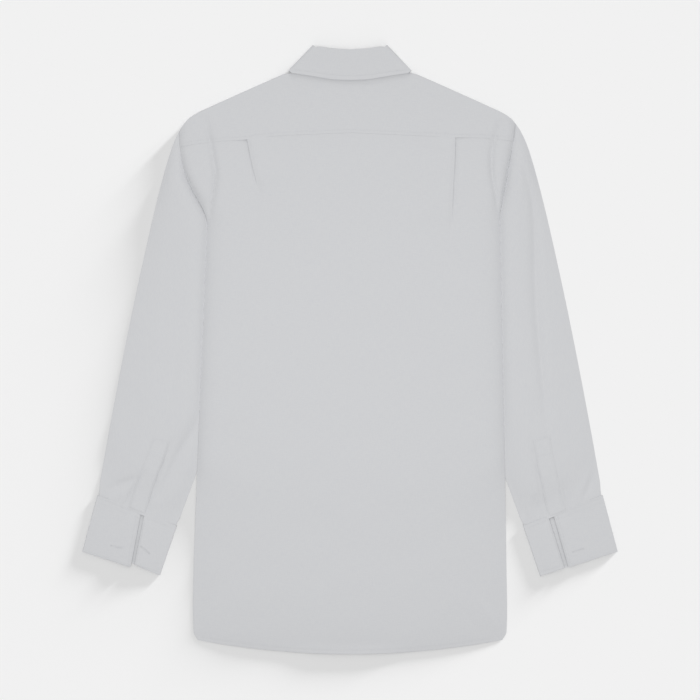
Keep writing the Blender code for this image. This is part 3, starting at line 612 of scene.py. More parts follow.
def pleatRow(side, y):
    end = pleat["ends"][side]
    top = along(yokeSeam, side * pleat["seamX"]) + pleat["seamLap"]
    down = (top - y) / (top - end)
    under = max(pleat["depth"] * (1.0 - down / pleat["underEnd"]), pleat["least"])
    turn = math.pi * (1.0 - smooth(down, *pleat["unfolds"]))
    bendLength = mix(math.pi * pleat["step"] / 2, pleat["open"], smooth(down, *pleat["widens"]))
    foldX = along(pleatFold, y, 1 if side < 0 else 2) - pleat["step"] / 2
    return pleatPoints(foldX, under, turn, bendLength)


backGrid = {
    "rows": 236,
    "centreSteps": 37,
    "sideSteps": 39,
    "wrapSteps": 4,            # round its edge
    "sideX": 230.0,            # where the rows' heights at the yoke seam are taken
    "crowding": 1.35,          # power by which the columns crowd toward the pleat
    "bulge": 0.35,             # how far its edge bulges, as a share of the edge's height,
    "leastRound": 0.1,
    "creasedSide": (0.5, 9.0),         # in from the side, where creases begin and are full
    "creasedHem": (2.0, 18.0),         # and the same above the hem
}


def makeBack():
    rows, centreSteps, sideSteps, wrapSteps = (
        backGrid[key] for key in ("rows", "centreSteps", "sideSteps", "wrapSteps"))
    pleatSteps = 2 * pleat["bendSteps"] + pleat["underSteps"]
    half = centreSteps + pleatSteps + sideSteps + wrapSteps
    folds = {}

    def place(column, row):
        # Down the panel, from the centre over the pleat to the side, and round its edge
        side = -1 if column < half else 1
        step = abs(column - half)
        share = row / rows
        edgeY = mix(along(yokeSeam, side * backGrid["sideX"]) + pleat["seamLap"],
                    hemY(lie["hemHalf"]), share)
        if (side, row) not in folds:
            folds[side, row] = pleatRow(side, edgeY)
        fold, raised = folds[side, row]
        foldX, pastX = fold[0][0], fold[-1][0]
        edgeX = bodyEdge(side, edgeY)
        wrap = 0.0
        fadeAbove, fadeLength = pleat["endFade"]
        shown = smooth(along(yokeSeam, side * foldX) - edgeY, 0.0, pleat["seamFade"])
        shown *= 1.0 - smooth(pleat["ends"][side] + fadeAbove - edgeY, 0.0, fadeLength)
        if step < centreSteps:
            x = foldX * (1.0 - (1.0 - step / centreSteps) ** backGrid["crowding"])
            inward = foldX - x
            lift = raised * (1.0 - smooth(inward, pleat["holdsUp"], pleat["liftWidth"]))
            rolled = smooth(inward, 0.0, pleat["rollFull"]) * (1.0 - smooth(inward, *pleat["rollEnds"]))
            lift += pleat["roll"] * rolled * shown
        elif step <= centreSteps + pleatSteps:
            x, lift = fold[step - centreSteps]
        else:
            past = (step - centreSteps - pleatSteps) / sideSteps
            x = mix(pastX, edgeX, min(past, 1.0))
            wrap = max(step - half + wrapSteps, 0) / wrapSteps * math.pi / 2
            dip = math.exp(-((x - foldX - pleat["dipPlace"]) / pleat["dipWidth"]) ** 2)
            dip *= smooth(x - pastX, 0.0, pleat["dipClear"])
            lift = -pleat["dip"] * dip * shown
        y = mix(along(yokeSeam, side * x) + pleat["seamLap"], hemY(x), share)
        high = backMiddle(side * x, y)
        if wrap:
            radius = max(high - frontMiddle(side * x, y, side) - lie["wall"] - lie["clear"],
                         backGrid["leastRound"])
            x += backGrid["bulge"] * radius * math.sin(wrap)
            lift -= radius * (1.0 - math.cos(wrap))
        creased = smooth(edgeX - x, *backGrid["creasedSide"])
        creased *= smooth(y - hemY(x), *backGrid["creasedHem"])
        least = frontMiddle(side * x, y, side) + lie["wall"] + lie["gap"]
        return side * x, y, high + lift, creased, min(least, high + lift)
    return addCloth("backPanel", "back_panel", clothGrid(2 * half, rows, place), backCreases)


frontGrid = {
    "rows": 150,
    "columns": 60,
    "sideX": 228.0,            # where the rows' heights at the yoke seam are taken
    "hemIn": 2.0,              # shorter than the back by this,
    "sideIn": 0.3,             # and narrower
    "creasedCentre": (25.0, 60.0),     # from the centre, where creases begin and are full
    "creasedSide": (10.0, 40.0),       # and the same in from the side
}


def makeFronts():
    rows, columns, hemIn = frontGrid["rows"], frontGrid["columns"], frontGrid["hemIn"]
    creases = (                # small lifts of the cloth from the floor
        (0.35, 14.0, 18.0, ((60, 180), (90, 60), (80, -80))),
        (0.30, 18.0, 12.0, ((130, -60), (150, -180), (138, -330))),
        (0.30, 12.0, 12.0, ((95, 240), (130, 205), (165, 180))),
    )
    pieces = []
    for name, node, side in (("frontLeft", "front_left", -1), ("frontRight", "front_right", 1)):
        def place(column, row):
            share = row / rows
            edgeY = mix(along(frontTop, frontGrid["sideX"]), hemY(lie["hemHalf"]) + hemIn, share)
            edgeX = bodyEdge(side, edgeY)
            x = mix(-lie["placketWidth"] / 2, edgeX - frontGrid["sideIn"], column / columns)
            y = mix(along(frontTop, abs(x)), hemY(x) + hemIn, share)
            creased = smooth(x, *frontGrid["creasedCentre"])
            creased *= smooth(edgeX - x, *frontGrid["creasedSide"])
            return side * x, y, frontMiddle(side * x, y, side), creased
        mirrored = [(height, wide, narrow, [(side * x, y) for x, y in points])
                    for height, wide, narrow, points in creases]
        pieces.append(addCloth(name, node, clothGrid(columns, rows, place), mirrored, restless=0.0))
    return pieces


placketGrid = {
    "rows": 200,
    "columns": 14,
    "sideIn": 0.2,             # narrower than its band on each side,
    "topIn": 1.0,              # and shorter than the fronts
    "hemIn": 2.5,
    "press": 0.1,              # how far it is pressed onto the buttons
}


def makeFrontPlacket():
    rows, columns = placketGrid["rows"], placketGrid["columns"]
    half = lie["placketWidth"] / 2 - placketGrid["sideIn"]
    height = lie["buttonThick"] + lie["gap"] + lie["wall"] / 2 - placketGrid["press"]

    def place(column, row):
        x = mix(-half, half, column / columns)
        y = mix(along(frontTop, abs(x)) - placketGrid["topIn"], hemY(x) + placketGrid["hemIn"],
                row / rows)
        return x, y, height, 0.0
    return addCloth("frontPlacket", "front_placket", clothGrid(columns, rows, place), restless=0.0)


# Yoke, turned over the shoulders to the front

yoke = {
    "topRows": 64,
    "foldRows": 8,
    "underRows": 26,
    "neckSteps": 22,
    "shoulderSteps": 62,
    "edges": {-1: (238.0, 238.6), 1: (228.4, 231.0)},      # x at the seam and at the fold
    "lapOver": 34.0,           # how far above the seam the pleats still lift it,
    "pleatOut": 20.0,          # and how far out beyond them
    "inset": 1.0,              # its fold stays inside the outline by this
    "neckY": 382.0,            # its top at the centre back
    "seamFade": 1.0,           # creases are full this far from the seam,
    "creasedEnd": (2.0, 12.0),         # begin and are full here, in from its end,
    "creasedTop": (3.0, 12.0),         # and below its fold
    "neckSlant": (5.0, 60.0),  # its hidden part slants in by this at the neck, over this width,
    "frontGap": 0.6,           # and ends this far from the fronts' tops
}


def shoulderPoint(x):
    # On the fold line, with the outward direction there
    y = along(shoulderLine, x)
    slope = along(shoulderLine, x + 0.5) - along(shoulderLine, x - 0.5)
    size = math.hypot(slope, 1.0)
    return y, (-slope / size, 1.0 / size)


def makeYoke():
    half = yoke["neckSteps"] + yoke["shoulderSteps"]
    topRows, foldRows, underRows = (yoke[key] for key in ("topRows", "foldRows", "underRows"))
    lap = lie["wall"] + lie["gap"]

    def place(column, row):
        side = -1 if column < half else 1
        step = abs(column - half)
        share = min(row / topRows, 1.0)
        if step < yoke["neckSteps"]:
            x = lie["neckPoint"] * step / yoke["neckSteps"]
        else:
            outShare = (step - yoke["neckSteps"]) / yoke["shoulderSteps"]
            x = mix(lie["neckPoint"], mix(*yoke["edges"][side], share), outShare)
        seam = along(yokeSeam, side * x)
        foldY, outward = shoulderPoint(max(x, lie["neckPoint"]))
        topY = foldY - (yoke["inset"] + lie["wall"] / 2) / outward[1]
        if x < lie["neckPoint"]:
            topY = yoke["neckY"] + (topY - yoke["neckY"]) * (x / lie["neckPoint"]) ** 2
        creased = smooth(topY - seam, 0.0, yoke["seamFade"])
        creased *= smooth(yoke["edges"][side][1] - x, *yoke["creasedEnd"])
        if row <= topRows:
            y = mix(seam, topY, share)
            foldX = along(pleatFold, seam, 1 if side < 0 else 2)
            folded = 2 * pleat["step"] * (1.0 - smooth(foldX - x, pleat["holdsUp"], pleat["liftWidth"]))
            folded *= ((1.0 - smooth(x - foldX, pleat["holdsUp"], yoke["pleatOut"]))
                       * (1.0 - smooth(y - seam, pleat["seamLap"], yoke["lapOver"])))
            creased *= smooth(topY - y, *yoke["creasedTop"])
            return side * x, y, backMiddle(side * x, y) + lap + folded, creased
        low = frontMiddle(side * x, topY, side)
        high = backMiddle(side * x, topY) + lap
        bend = (high - low) / 2
        if row <= topRows + foldRows:
            turn = math.pi * (0.5 - (row - topRows) / foldRows)
            out = min(bend, yoke["inset"]) * math.cos(turn)
            return (side * (x + out * outward[0]), topY + out * outward[1],
                    low + bend + bend * math.sin(turn), 0.0)
        under = (row - topRows - foldRows) / underRows
        slant, slantWidth = yoke["neckSlant"]
        x -= slant * under * (1.0 - smooth(x, lie["neckPoint"], lie["neckPoint"] + slantWidth))
        y = mix(topY, along(frontTop, x) + yoke["frontGap"], under)
        return side * x, y, frontMiddle(side * x, y, side), 0.0

    def keep(column, row):
        return row < topRows or not (yoke["shoulderSteps"] <= column < 2 * half - yoke["shoulderSteps"])
    points = clothGrid(2 * half, topRows + foldRows + underRows, place)
    return addCloth("yokeCloth", "yoke", points, backCreases, keep=keep)


# Collar: a ring folded flat, its back half over its front half

collar = {
    "sideWay": (0.72, 0.69),   # the folds at its two sides face this way
    "low": 0.25,               # middle of its lowest and highest walls
    "high": 10.2,
    "standInset": 2.1,         # from the leaf's wall to the stand's
    "settle": 0.40,            # how far the back of the leaf sinks toward the yoke
    "standLap": 14.0,          # the stand's ends pass the centre front by this
    "stitchIn": 6.0,           # topstitching, in from the leaf's edge
    "backSteps": 34,
    "foldSteps": 10,
    "frontSteps": 40,
    "insideRows": 8,
    "rollRows": 14,
    "leafRows": 40,
    "standEndSteps": 8,
    "standRows": 20,
    "inRoll": 0.12,            # how far the leaf goes on inside the roll toward the neck seam
    "settleEnd": 1.1,          # where it would have settled, as a share of its height
    "grooveWidth": 1.3,        # along its topstitching
    "grooveDepth": 0.28,
    "standEndY": (343.5, 314.8),       # upper and lower corner of the stand's ends
    "standShares": (0.155, 0.95),      # its upper and lower edge, from the roll to the neck seam
    "overButton": (18.0, 46.0),        # from the centre: level on its button, then down
}
collarBack = (                 # roll x, y, neck seam x, y, leaf edge x, y, from the centre back
    (0.0, 418.6, 0.0, 382.0, 0.0, 377.0), (24.0, 420.3, 26.0, 383.4, 27.0, 378.4),
    (42.0, 422.6, 52.0, 388.0, 55.0, 383.0), (49.0, 422.2, 72.0, 392.0, 82.3, 387.2))
collarFront = (                # the same from the side fold to the front end
    (49.0, 422.2, 72.0, 392.0, 82.3, 387.2), (50.5, 396.0, 66.5, 371.0, 83.0, 354.0),
    (43.0, 368.0, 55.0, 341.0, 71.0, 323.0), (25.0, 351.0, 31.0, 321.0, 57.0, 301.0),
    (3.0, 344.0, 3.0, 314.5, 38.0, 277.0))


def collarRing():
    # Stations from the left front end by the back to the right front end: side, turn of
    # the side fold (1 back, -1 front), how far out it bulges, and roll, neck, edge points
    half = [(1.0, 0.0, alongPath(collarBack, share)) for share in steps(collar["backSteps"])]
    for angle in steps(collar["foldSteps"], math.pi / 2, -math.pi / 2)[1:-1]:
        half.append((math.sin(angle), math.cos(angle), collarBack[-1]))
    half += [(-1.0, 0.0, alongPath(collarFront, share)) for share in steps(collar["frontSteps"])]
    left = [(-1,) + station for station in reversed(half[1:])]
    return left + [(1,) + station for station in half]


def makeCollar():
    ring = collarRing()
    centre = (collar["low"] + collar["high"]) / 2
    far = (collar["high"] - collar["low"]) / 2
    near = far - collar["standInset"]
    bend = (far - near) / 2
    inside, roll, leafRows = collar["insideRows"], collar["rollRows"], collar["leafRows"]

    def placeLeaf(column, row):
        # Rows run from inside the roll, round it, and down the leaf to its edge
        side, turn, bulge, (rollX, rollY, neckX, neckY, edgeX, edgeY) = ring[column]
        settled = 0.0
        if row < inside:
            point = mixPoint((rollX, rollY), (neckX, neckY),
                             collar["inRoll"] * (inside - row) / inside)
            radius = near
        elif row <= inside + roll:
            angle = math.pi * (row - inside) / roll
            beyond = bend * math.sin(angle) / math.hypot(rollX - neckX, rollY - neckY)
            point = mixPoint((rollX, rollY), (neckX, neckY), -beyond)
            radius = near + bend - bend * math.cos(angle)
        else:
            share = (row - inside - roll) / leafRows
            point = mixPoint((rollX, rollY), (edgeX, edgeY), share)
            radius = far
            settled = collar["settle"] * smooth(share, 0.0, collar["settleEnd"]) * max(turn, 0.0)
        x = point[0] + radius * bulge * collar["sideWay"][0]
        y = point[1] + radius * bulge * collar["sideWay"][1]
        height = centre + radius * turn
        rest = backMiddle(side * x, y) + (lie["wall"] + lie["collarWall"]) / 2 + lie["gap"]
        height = mix(height, rest, settled)
        if row > inside + roll and turn > 0.0:
            fromEdge = (1.0 - share) * math.dist((rollX, rollY), (edgeX, edgeY))
            groove = math.exp(-((fromEdge - collar["stitchIn"]) / collar["grooveWidth"]) ** 2)
            height -= collar["grooveDepth"] * groove * turn
        return side * x, y, height, 0.0

    leaf = addCloth("collarLeaf", "collar_leaf",
                    clothGrid(len(ring) - 1, inside + roll + leafRows, placeLeaf),
                    wall=lie["collarWall"], restless=0.0)

    upperY, lowerY = collar["standEndY"]
    endPoints = (-collar["standLap"], upperY, -collar["standLap"], lowerY, 0.0, 0.0)
    ends = collar["standEndSteps"]

    def standEnd(side, share):
        return side, -1.0, 0.0, mixPoint(collarFront[-1], endPoints, share)
    standRing = [standEnd(-1, k / ends) for k in range(ends, 0, -1)] + ring
    standRing += [standEnd(1, k / ends) for k in range(1, ends + 1)]
    standRows = collar["standRows"]

    def placeStand(column, row):
        side, turn, bulge, (rollX, rollY, neckX, neckY, _, _) = standRing[column]
        point = mixPoint((rollX, rollY), (neckX, neckY), mix(*collar["standShares"], row / standRows))
        x = side * (point[0] + near * bulge * collar["sideWay"][0])
        y = point[1] + near * bulge * collar["sideWay"][1]
        height = centre + near * turn
        if turn == -1.0:
            lift = lie["buttonThick"] + lie["gap"] + lie["collarWall"] / 2 - height + lie["clear"]
            if side > 0:
                lift += lie["collarWall"] + lie["gap"]
            height += lift * (1.0 - smooth(abs(x), *collar["overButton"]))
        return x, y, height, 0.0

    stand = addCloth("collarStand", "collar_stand",
                     clothGrid(len(standRing) - 1, standRows, placeStand),
                     wall=lie["collarWall"], restless=0.0)
    return leaf, stand


# Cuffs: turned back double, their ends not linked

cuff = {
    "topOuter": (353.5, -203.0),
    "topInner": (242.3, -246.0),
    "endOuter": (375.6, -285.5),
    "endInner": (267.5, -320.0),
    "wall": 0.45,              # two plies and an interlining
    "turnGap": 0.15,           # between the two turns
    "openGap": 0.45,           # between the two walls of the inner turn
    "partSteps": 40,
    "foldSteps": 8,
    "underSteps": 50,
    "innerSteps": 24,
    "innerRows": 26,
    "turnRows": 8,
    "outerRows": 34,
    "stitchIn": 6.0,
    "freeRoll": 1.3,           # how much the free edges at the slit roll down,
    "rollFull": 3.6,           # from highest this far in from them
    "rollEnds": (8.0, 34.0),   # to flat again here,
    "topRoll": (0.35, 0.25),   # with this share of it at the top, and all of it from here down
    "crowdOuter": 1.5,         # powers by which the columns crowd toward the free edges
    "crowdInner": 1.6,
    "innerTop": 0.05,          # shares of the length where the inner turn begins,
    "turnAt": 0.97,            # and where it turns back
    "turnRoom": 1.6,           # the turned end stays this far inside the outline
    "liftEnd": 0.85,           # share of the width where the inner part sits no higher
    "loft": 0.25,              # between its two folds,
    "loftIn": 14.0,            # full this far in from them,
    "loftDown": (1.0, 2.2),    # and this many times as high at the top and at the end
    "loftGrows": (0.2, 0.8),
    "grooveWidth": 1.2,        # along its stitching
    "grooveDepth": 0.15,
}
# Where the parts end, at the cuff's top and at its folded end, as shares of the width from
# the inner fold, and how much higher the inner part sits at its fold and at its free end
cuffSplits = {
    -1: {"outer": (0.45, 0.37), "inner": (0.405, 0.335), "lift": (1.5, 5.5)},
    1: {"outer": (0.375, 0.36), "inner": (0.31, 0.31), "lift": (0.0, 1.0)},
}


def makeCuffs():
    wall = cuff["wall"]
    innerLow = 1.5 * wall + cuff["turnGap"]
    innerHigh = innerLow + wall + cuff["openGap"]
    outerLow, outerHigh = wall / 2, innerHigh + wall + cuff["turnGap"]
    centre = (innerLow + innerHigh) / 2
    near, far = (innerHigh - innerLow) / 2, (outerHigh - outerLow) / 2
    bend = (far - near) / 2
    folds, parts = cuff["foldSteps"], cuff["partSteps"]
    quarter = math.pi / 2
    # From the outer part's free end over the outer fold, under, and up to the inner end:
    # the part, the place along it, and the turn of the ring
    stations = [("outer", (k / parts) ** cuff["crowdOuter"], quarter) for k in range(parts)]
    stations += [("under", 1.0, quarter - math.pi * k / folds) for k in range(folds)]
    stations += [("under", 1.0 - k / cuff["underSteps"], -quarter) for k in range(cuff["underSteps"])]
    stations += [("under", 0.0, -quarter - math.pi * k / folds) for k in range(folds)]
    stations += [("inner", 1.0 - (1.0 - share) ** cuff["crowdInner"], quarter)
                 for share in steps(cuff["innerSteps"])]
    innerRows, turnRows, outerRows = cuff["innerRows"], cuff["turnRows"], cuff["outerRows"]
    toward = unit((cuff["topOuter"][0] - cuff["topInner"][0],
                   cuff["topOuter"][1] - cuff["topInner"][1]))
    width = math.dist(cuff["topInner"], cuff["topOuter"])
    last = cuff["turnAt"]

    pieces = []
    for name, node, side in (("cuffLeft", "cuff_left", -1), ("cuffRight", "cuff_right", 1)):
        splits = cuffSplits[side]

        def place(column, row):
            part, across, turn = stations[column]
            beyond = 0.0
            if row <= innerRows:
                radius, down = near, mix(cuff["innerTop"], last, row / innerRows)
            elif row <= innerRows + turnRows:
                angle = math.pi * (row - innerRows) / turnRows
                radius = near + bend - bend * math.cos(angle)
                down, beyond = last, bend * math.sin(angle)
            else:
                radius, down = far, mix(last, 0.0, (row - innerRows - turnRows) / outerRows)
            if part == "outer":
                across = mix(mix(*splits["outer"], down), 1.0, across)
            elif part == "inner":
                across *= mix(*splits["inner"], down)
            lift = mix(*splits["lift"], min(across / splits["inner"][1], 1.0))
            lift *= 0.0 if part == "outer" else 1.0 - smooth(across, splits["outer"][1], cuff["liftEnd"])
            top = mixPoint(cuff["topInner"], cuff["topOuter"], across)
            end = mixPoint(cuff["endInner"], cuff["endOuter"], across)
            way = unit((end[0] - top[0], end[1] - top[1]))
            height = math.dist(top, end)
            length = (height - cuff["turnRoom"] - lift) * down + beyond
            foldIn = (far + wall / 2) * (1.0 - 2.0 * across)
            out = radius * abs(math.cos(turn)) * (1 if across == 1.0 else -1 if across == 0.0 else 0)
            x = top[0] + way[0] * length + toward[0] * (foldIn + out)
            y = top[1] + way[1] * length + toward[1] * (foldIn + out)
            z = centre + radius * math.sin(turn)
            if turn == quarter:
                # A little loft between the folds, free edges rolled down, grooves at the seams
                fromFold = min(across, 1.0 - across) * width
                z += (cuff["loft"] * smooth(fromFold, 0.0, cuff["loftIn"])
                      * mix(*cuff["loftDown"], smooth(down, *cuff["loftGrows"])))
                if part != "under":
                    fromFree = abs(across - mix(*splits[part], down)) * width
                    rolled = smooth(fromFree, 0.0, cuff["rollFull"])
                    rolled *= 1.0 - smooth(fromFree, *cuff["rollEnds"])
                    atTop, whole = cuff["topRoll"]
                    z += cuff["freeRoll"] * rolled * mix(atTop, 1.0, smooth(down, 0.0, whole))
                if row > innerRows + turnRows:
                    for line in (cuff["stitchIn"], height - cuff["stitchIn"]):
                        away = (height * down - line) / cuff["grooveWidth"]
                        z -= cuff["grooveDepth"] * math.exp(-away ** 2)
            return side * x, y, z, 0.0
        points = clothGrid(len(stations) - 1, innerRows + turnRows + outerRows, place)
        pieces.append(addCloth(name, node, points, wall=wall, restless=0.0))
    return pieces


# Sleeves

sleeve = {
    "rows": 226,
    "flatSteps": 54,           # columns in each wall
    "foldSteps": 6,            # columns in each fold
    "caps": {-1: (309.0, 20.0), 1: (319.0, 26.0)},      # y of the top, and its bow
    "inCuff": 3.6,             # its end lies this far inside the cuff,
    "intoCuff": 1.6,           # narrowed by this on each side
    "loft": 11.5,
    "outerRound": 72.0,        # how far in from its outer fold it rises,
    "capRound": 28.0,          # from the same fold beside the armhole,
    "innerRound": 24.0,        # from its inner one,
    "bodyRound": 8.5,          # and from the edge of the body that lies over it
    "capY": (120.0, 250.0),    # where the armhole's rounding begins, and is full
    "cuffPress": (0.7, 0.84),  # share of the loft that the cuff presses away, from here down
    "outerIn": 0.3,            # its folds lie this far inside their outlines
    "innerIn": 1.5,
    "bowEnd": 0.55,            # share of its length where the bow of its cap is gone,
    "narrows": (0.95, 0.99),   # where it narrows into the cuff,
    "rises": (0.93, 0.995),    # and where it rises between the cuff's walls
    "creasedOuter": (0.5, 6.0),        # in from its folds, where creases begin and are full
    "creasedInner": (1.0, 9.0),
    "creaseLoss": (0.5, 0.985),        # share of them lost in the cuff, from here down
}
sleeveCreases = {
    -1: (                      # height, width on its left, width on its right, points (x, y)
        (-7.5, 8.0, 6.5, ((-204, -80), (-220, -112), (-240, -147), (-259, -186), (-272, -212))),
        (-3.2, 3.0, 3.5, ((-357, -217), (-343, -203), (-328, -191), (-310, -182), (-296, -178))),
        (1.0, 4.5, 4.0, ((-346, -226), (-334, -214), (-318, -201), (-300, -192))),
        (1.3, 2.5, 2.5, ((-323, -234), (-318, -216), (-310, -198), (-299, -180))),
        (1.1, 2.5, 2.5, ((-306, -230), (-303, -214), (-297, -196), (-288, -180))),
        (-2.4, 3.0, 3.0, ((-316, -226), (-309, -204), (-298, -186), (-284, -168))),
        (0.8, 16.0, 22.0, ((-262, 200), (-266, 60), (-282, -60), (-296, -150))),
        (-1.0, 14.0, 12.0, ((-232, 90), (-240, 0), (-262, -110))),
        (0.6, 8.0, 10.0, ((-318, -60), (-326, -110), (-330, -160))),
        (-3.2, 3.0, 1.6, ((-246, -112), (-257, -148), (-270, -182), (-281, -212), (-288, -240))),
    ),
    1: (
        (-6.5, 6.0, 6.5, ((231, 290), (242, 254), (253, 217), (258, 170), (259, 110), (261, 60),
                          (266, -10), (272, -70), (277, -130))),
        (0.8, 10.0, 10.0, ((272, 205), (272, 110), (279, 20), (288, -70))),
        (-2.8, 2.5, 3.0, ((350, -150), (344, -172), (336, -190), (327, -208))),
        (0.8, 4.0, 4.0, ((338, -160), (332, -178), (322, -200), (312, -218))),
        (-1.7, 2.5, 3.0, ((310, -232), (307, -214), (301, -198), (294, -180))),
        (1.2, 3.0, 2.5, ((300, -234), (299, -216), (296, -200), (290, -178))),
        (1.1, 2.5, 2.5, ((257, -246), (251, -228), (246, -208))),
        (-2.4, 5.0, 5.0, ((262, -246), (262, -228), (258, -200))),
        (0.7, 14.0, 12.0, ((318, -50), (324, -110), (322, -165))),
        (0.7, 8.0, 10.0, ((226, 205), (238, 236), (242, 270))),
        (-2.6, 1.8, 2.4, ((253, -112), (257, -148), (265, -184), (272, -216), (277, -246))),
    ),
}


def sleeveSection(side, share):
    # Outer and inner ends of the section, and how far it bows toward the shoulder
    tipY, capBow = sleeve["caps"][side]
    outerY = mix(tipY, cuff["topOuter"][1] - sleeve["inCuff"], share)
    outerX = along(sleeveOuter, outerY) - sleeve["outerIn"]
    inner = mixPoint((underarm[0] + sleeve["innerIn"], underarm[1]),
                     (cuff["topInner"][0] + sleeve["innerIn"],
                      cuff["topInner"][1] - sleeve["inCuff"]), share)
    slope = ((cuff["topOuter"][1] - cuff["topInner"][1])
             / (cuff["topOuter"][0] - cuff["topInner"][0]))
    narrowed = sleeve["intoCuff"] * smooth(share, *sleeve["narrows"])
    outer = (outerX - narrowed, outerY - narrowed * slope)
    inner = (inner[0] + narrowed, inner[1] + narrowed * slope)
    return outer, inner, capBow * (1.0 - smooth(share, 0.0, sleeve["bowEnd"]))


def makeSleeves():
    flat, folds, rows = sleeve["flatSteps"], sleeve["foldSteps"], sleeve["rows"]
    quarter = math.pi / 2
    stations = [(k / flat, -quarter) for k in range(flat)]
    stations += [(1.0, math.pi * (k / folds - 0.5)) for k in range(folds)]
    stations += [(1.0 - k / flat, quarter) for k in range(flat)]
    stations += [(0.0, math.pi * (0.5 + k / folds)) for k in range(folds)]
    stations.append(stations[0])
    pieces = []
    for name, node, side in (("sleeveLeft", "sleeve_left", -1), ("sleeveRight", "sleeve_right", 1)):
        sections = [sleeveSection(side, row / rows) for row in range(rows + 1)]

        def place(column, row):
            share = row / rows
            across, turn = stations[column]
            outer, inner, bow = sections[row]
            toward = unit((outer[0] - inner[0], outer[1] - inner[1]))
            x, y = mixPoint(inner, outer, across)
            out = bow * 4 * across * (1 - across)
            x, y = x + toward[1] * out, y - toward[0] * out
            fromOuter = (1.0 - across) * math.dist(inner, outer)
            fromInner = across * math.dist(inner, outer)
            inCuff = smooth(share, *sleeve["rises"])
            low = lie["wall"] / 2 + (cuff["wall"] + cuff["turnGap"]) * inCuff
            apart = lie["wall"] + mix(lie["flatGap"], cuff["openGap"], inCuff)
            fromBody = max(x - max(bodyEdge(side, y), hiddenSleeveX(side, y)), 0.0)
            shown = 1.0 - math.exp(-fromBody / sleeve["bodyRound"])
            outerRound = mix(sleeve["outerRound"], sleeve["capRound"], smooth(y, *sleeve["capY"]))
            loft = 1.0 - math.exp(-fromOuter / outerRound)
            loft *= (1.0 - math.exp(-fromInner / sleeve["innerRound"])) * shown
            pressed, pressFrom = sleeve["cuffPress"]
            loft *= 1.0 - pressed * smooth(share, pressFrom, 1.0)
            high = low + apart + sleeve["loft"] * loft
            bend = (high - low) / 2
            if across in (0.0, 1.0):
                x += toward[0] * bend * math.cos(turn)
                y += toward[1] * bend * math.cos(turn)
            creased = shown * smooth(fromOuter, *sleeve["creasedOuter"])
            creased *= smooth(fromInner, *sleeve["creasedInner"])
            lost, lostFrom = sleeve["creaseLoss"]
            creased *= (1.0 - lost * smooth(share, lostFrom, 1.0)) * max(math.sin(turn), 0.0)
            height = low + bend + bend * math.sin(turn)
            return side * x, y, height, creased, min(height, low + apart)
        points = clothGrid(len(stations) - 1, rows, place)
        pieces.append(addCloth(name, node, points, sleeveCreases[side], closed=True))
    return pieces


# Sleeve plackets: a band over the slit at each cuff

tower = {
    "width": 23.0,
    "topSlope": 0.30,          # its squared top follows the slant of the sleeve
    "lift": 0.08,              # above the sleeve
    "tuck": 0.3,               # its lower end lies this far inside the cuff's top edge
    "rows": 70,
    "columns": 16,
}
towerEdges = {                 # y, x of the edge nearest the body, from the cuff to its squared top
    -1: ((-233.0, 288.8), (-214.6, 282.5), (-184.0, 272.6), (-148.0, 258.4), (-128.0, 252.0)),
    1: ((-231.0, 280.0), (-221.5, 275.2), (-185.0, 267.5), (-147.4, 259.5), (-126.0, 256.5)),
}


def towerPoint(side, across, y):
    x = along(towerEdges[side], y) + tower["width"] * across
    return x, y + tower["width"] * across * tower["topSlope"]


def cuffTopY(x):
    share = (x - cuff["topInner"][0]) / (cuff["topOuter"][0] - cuff["topInner"][0])
    return mix(cuff["topInner"][1], cuff["topOuter"][1], share)


def makeTowers(sleeves):
    pieces = []
    for piece, name, node, side in zip(
            sleeves, ("sleevePlacketLeft", "sleevePlacketRight"),
            ("sleeve_placket_left", "sleeve_placket_right"), (-1, 1)):
        surface = surfaceOf(piece)

        def place(column, row):
            # Up from the cuff's top edge
            edge, across = towerEdges[side], column / tower["columns"]
            rise = tower["width"] * across * tower["topSlope"]
            low = cuffTopY(edge[0][1] + tower["width"] * across) - tower["tuck"] - rise
            x, y = towerPoint(side, across, mix(low, edge[-1][0], row / tower["rows"]))
            top = heightAt(surface, side * x, y)
            return side * x, y, top + tower["lift"] + lie["wall"] / 2, 0.0
        points = clothGrid(tower["columns"], tower["rows"], place)
        pieces.append(addCloth(name, node, points, restless=0.0))
    return pieces


# Buttons: sewn to the right front, lying on the floor under the placket

button = {
    "holeDiameter": 1.5,
    "holeSpacing": 2.6,
    "holeSegments": 16,
    "drillLength": 6.0,
    "drillMiddle": 1.0,
    "segments": 48,
    "sharpAngle": 40.0,        # degrees
    "collarY": 326.0,
    "firstY": 250.0,
    "spacing": 88.0,
    "count": 7,
}
buttonProfile = (              # radius and height, from the middle of its outer face round to its back
    (0.0, 0.55), (2.2, 0.55), (3.0, 0.50), (3.6, 0.20), (4.2, 0.02), (4.8, 0.0), (5.25, 0.15),
    (5.45, 0.5), (5.5, 0.95), (5.4, 1.4), (5.1, 1.75), (4.6, 1.95), (3.5, 2.0), (0.0, 2.0))


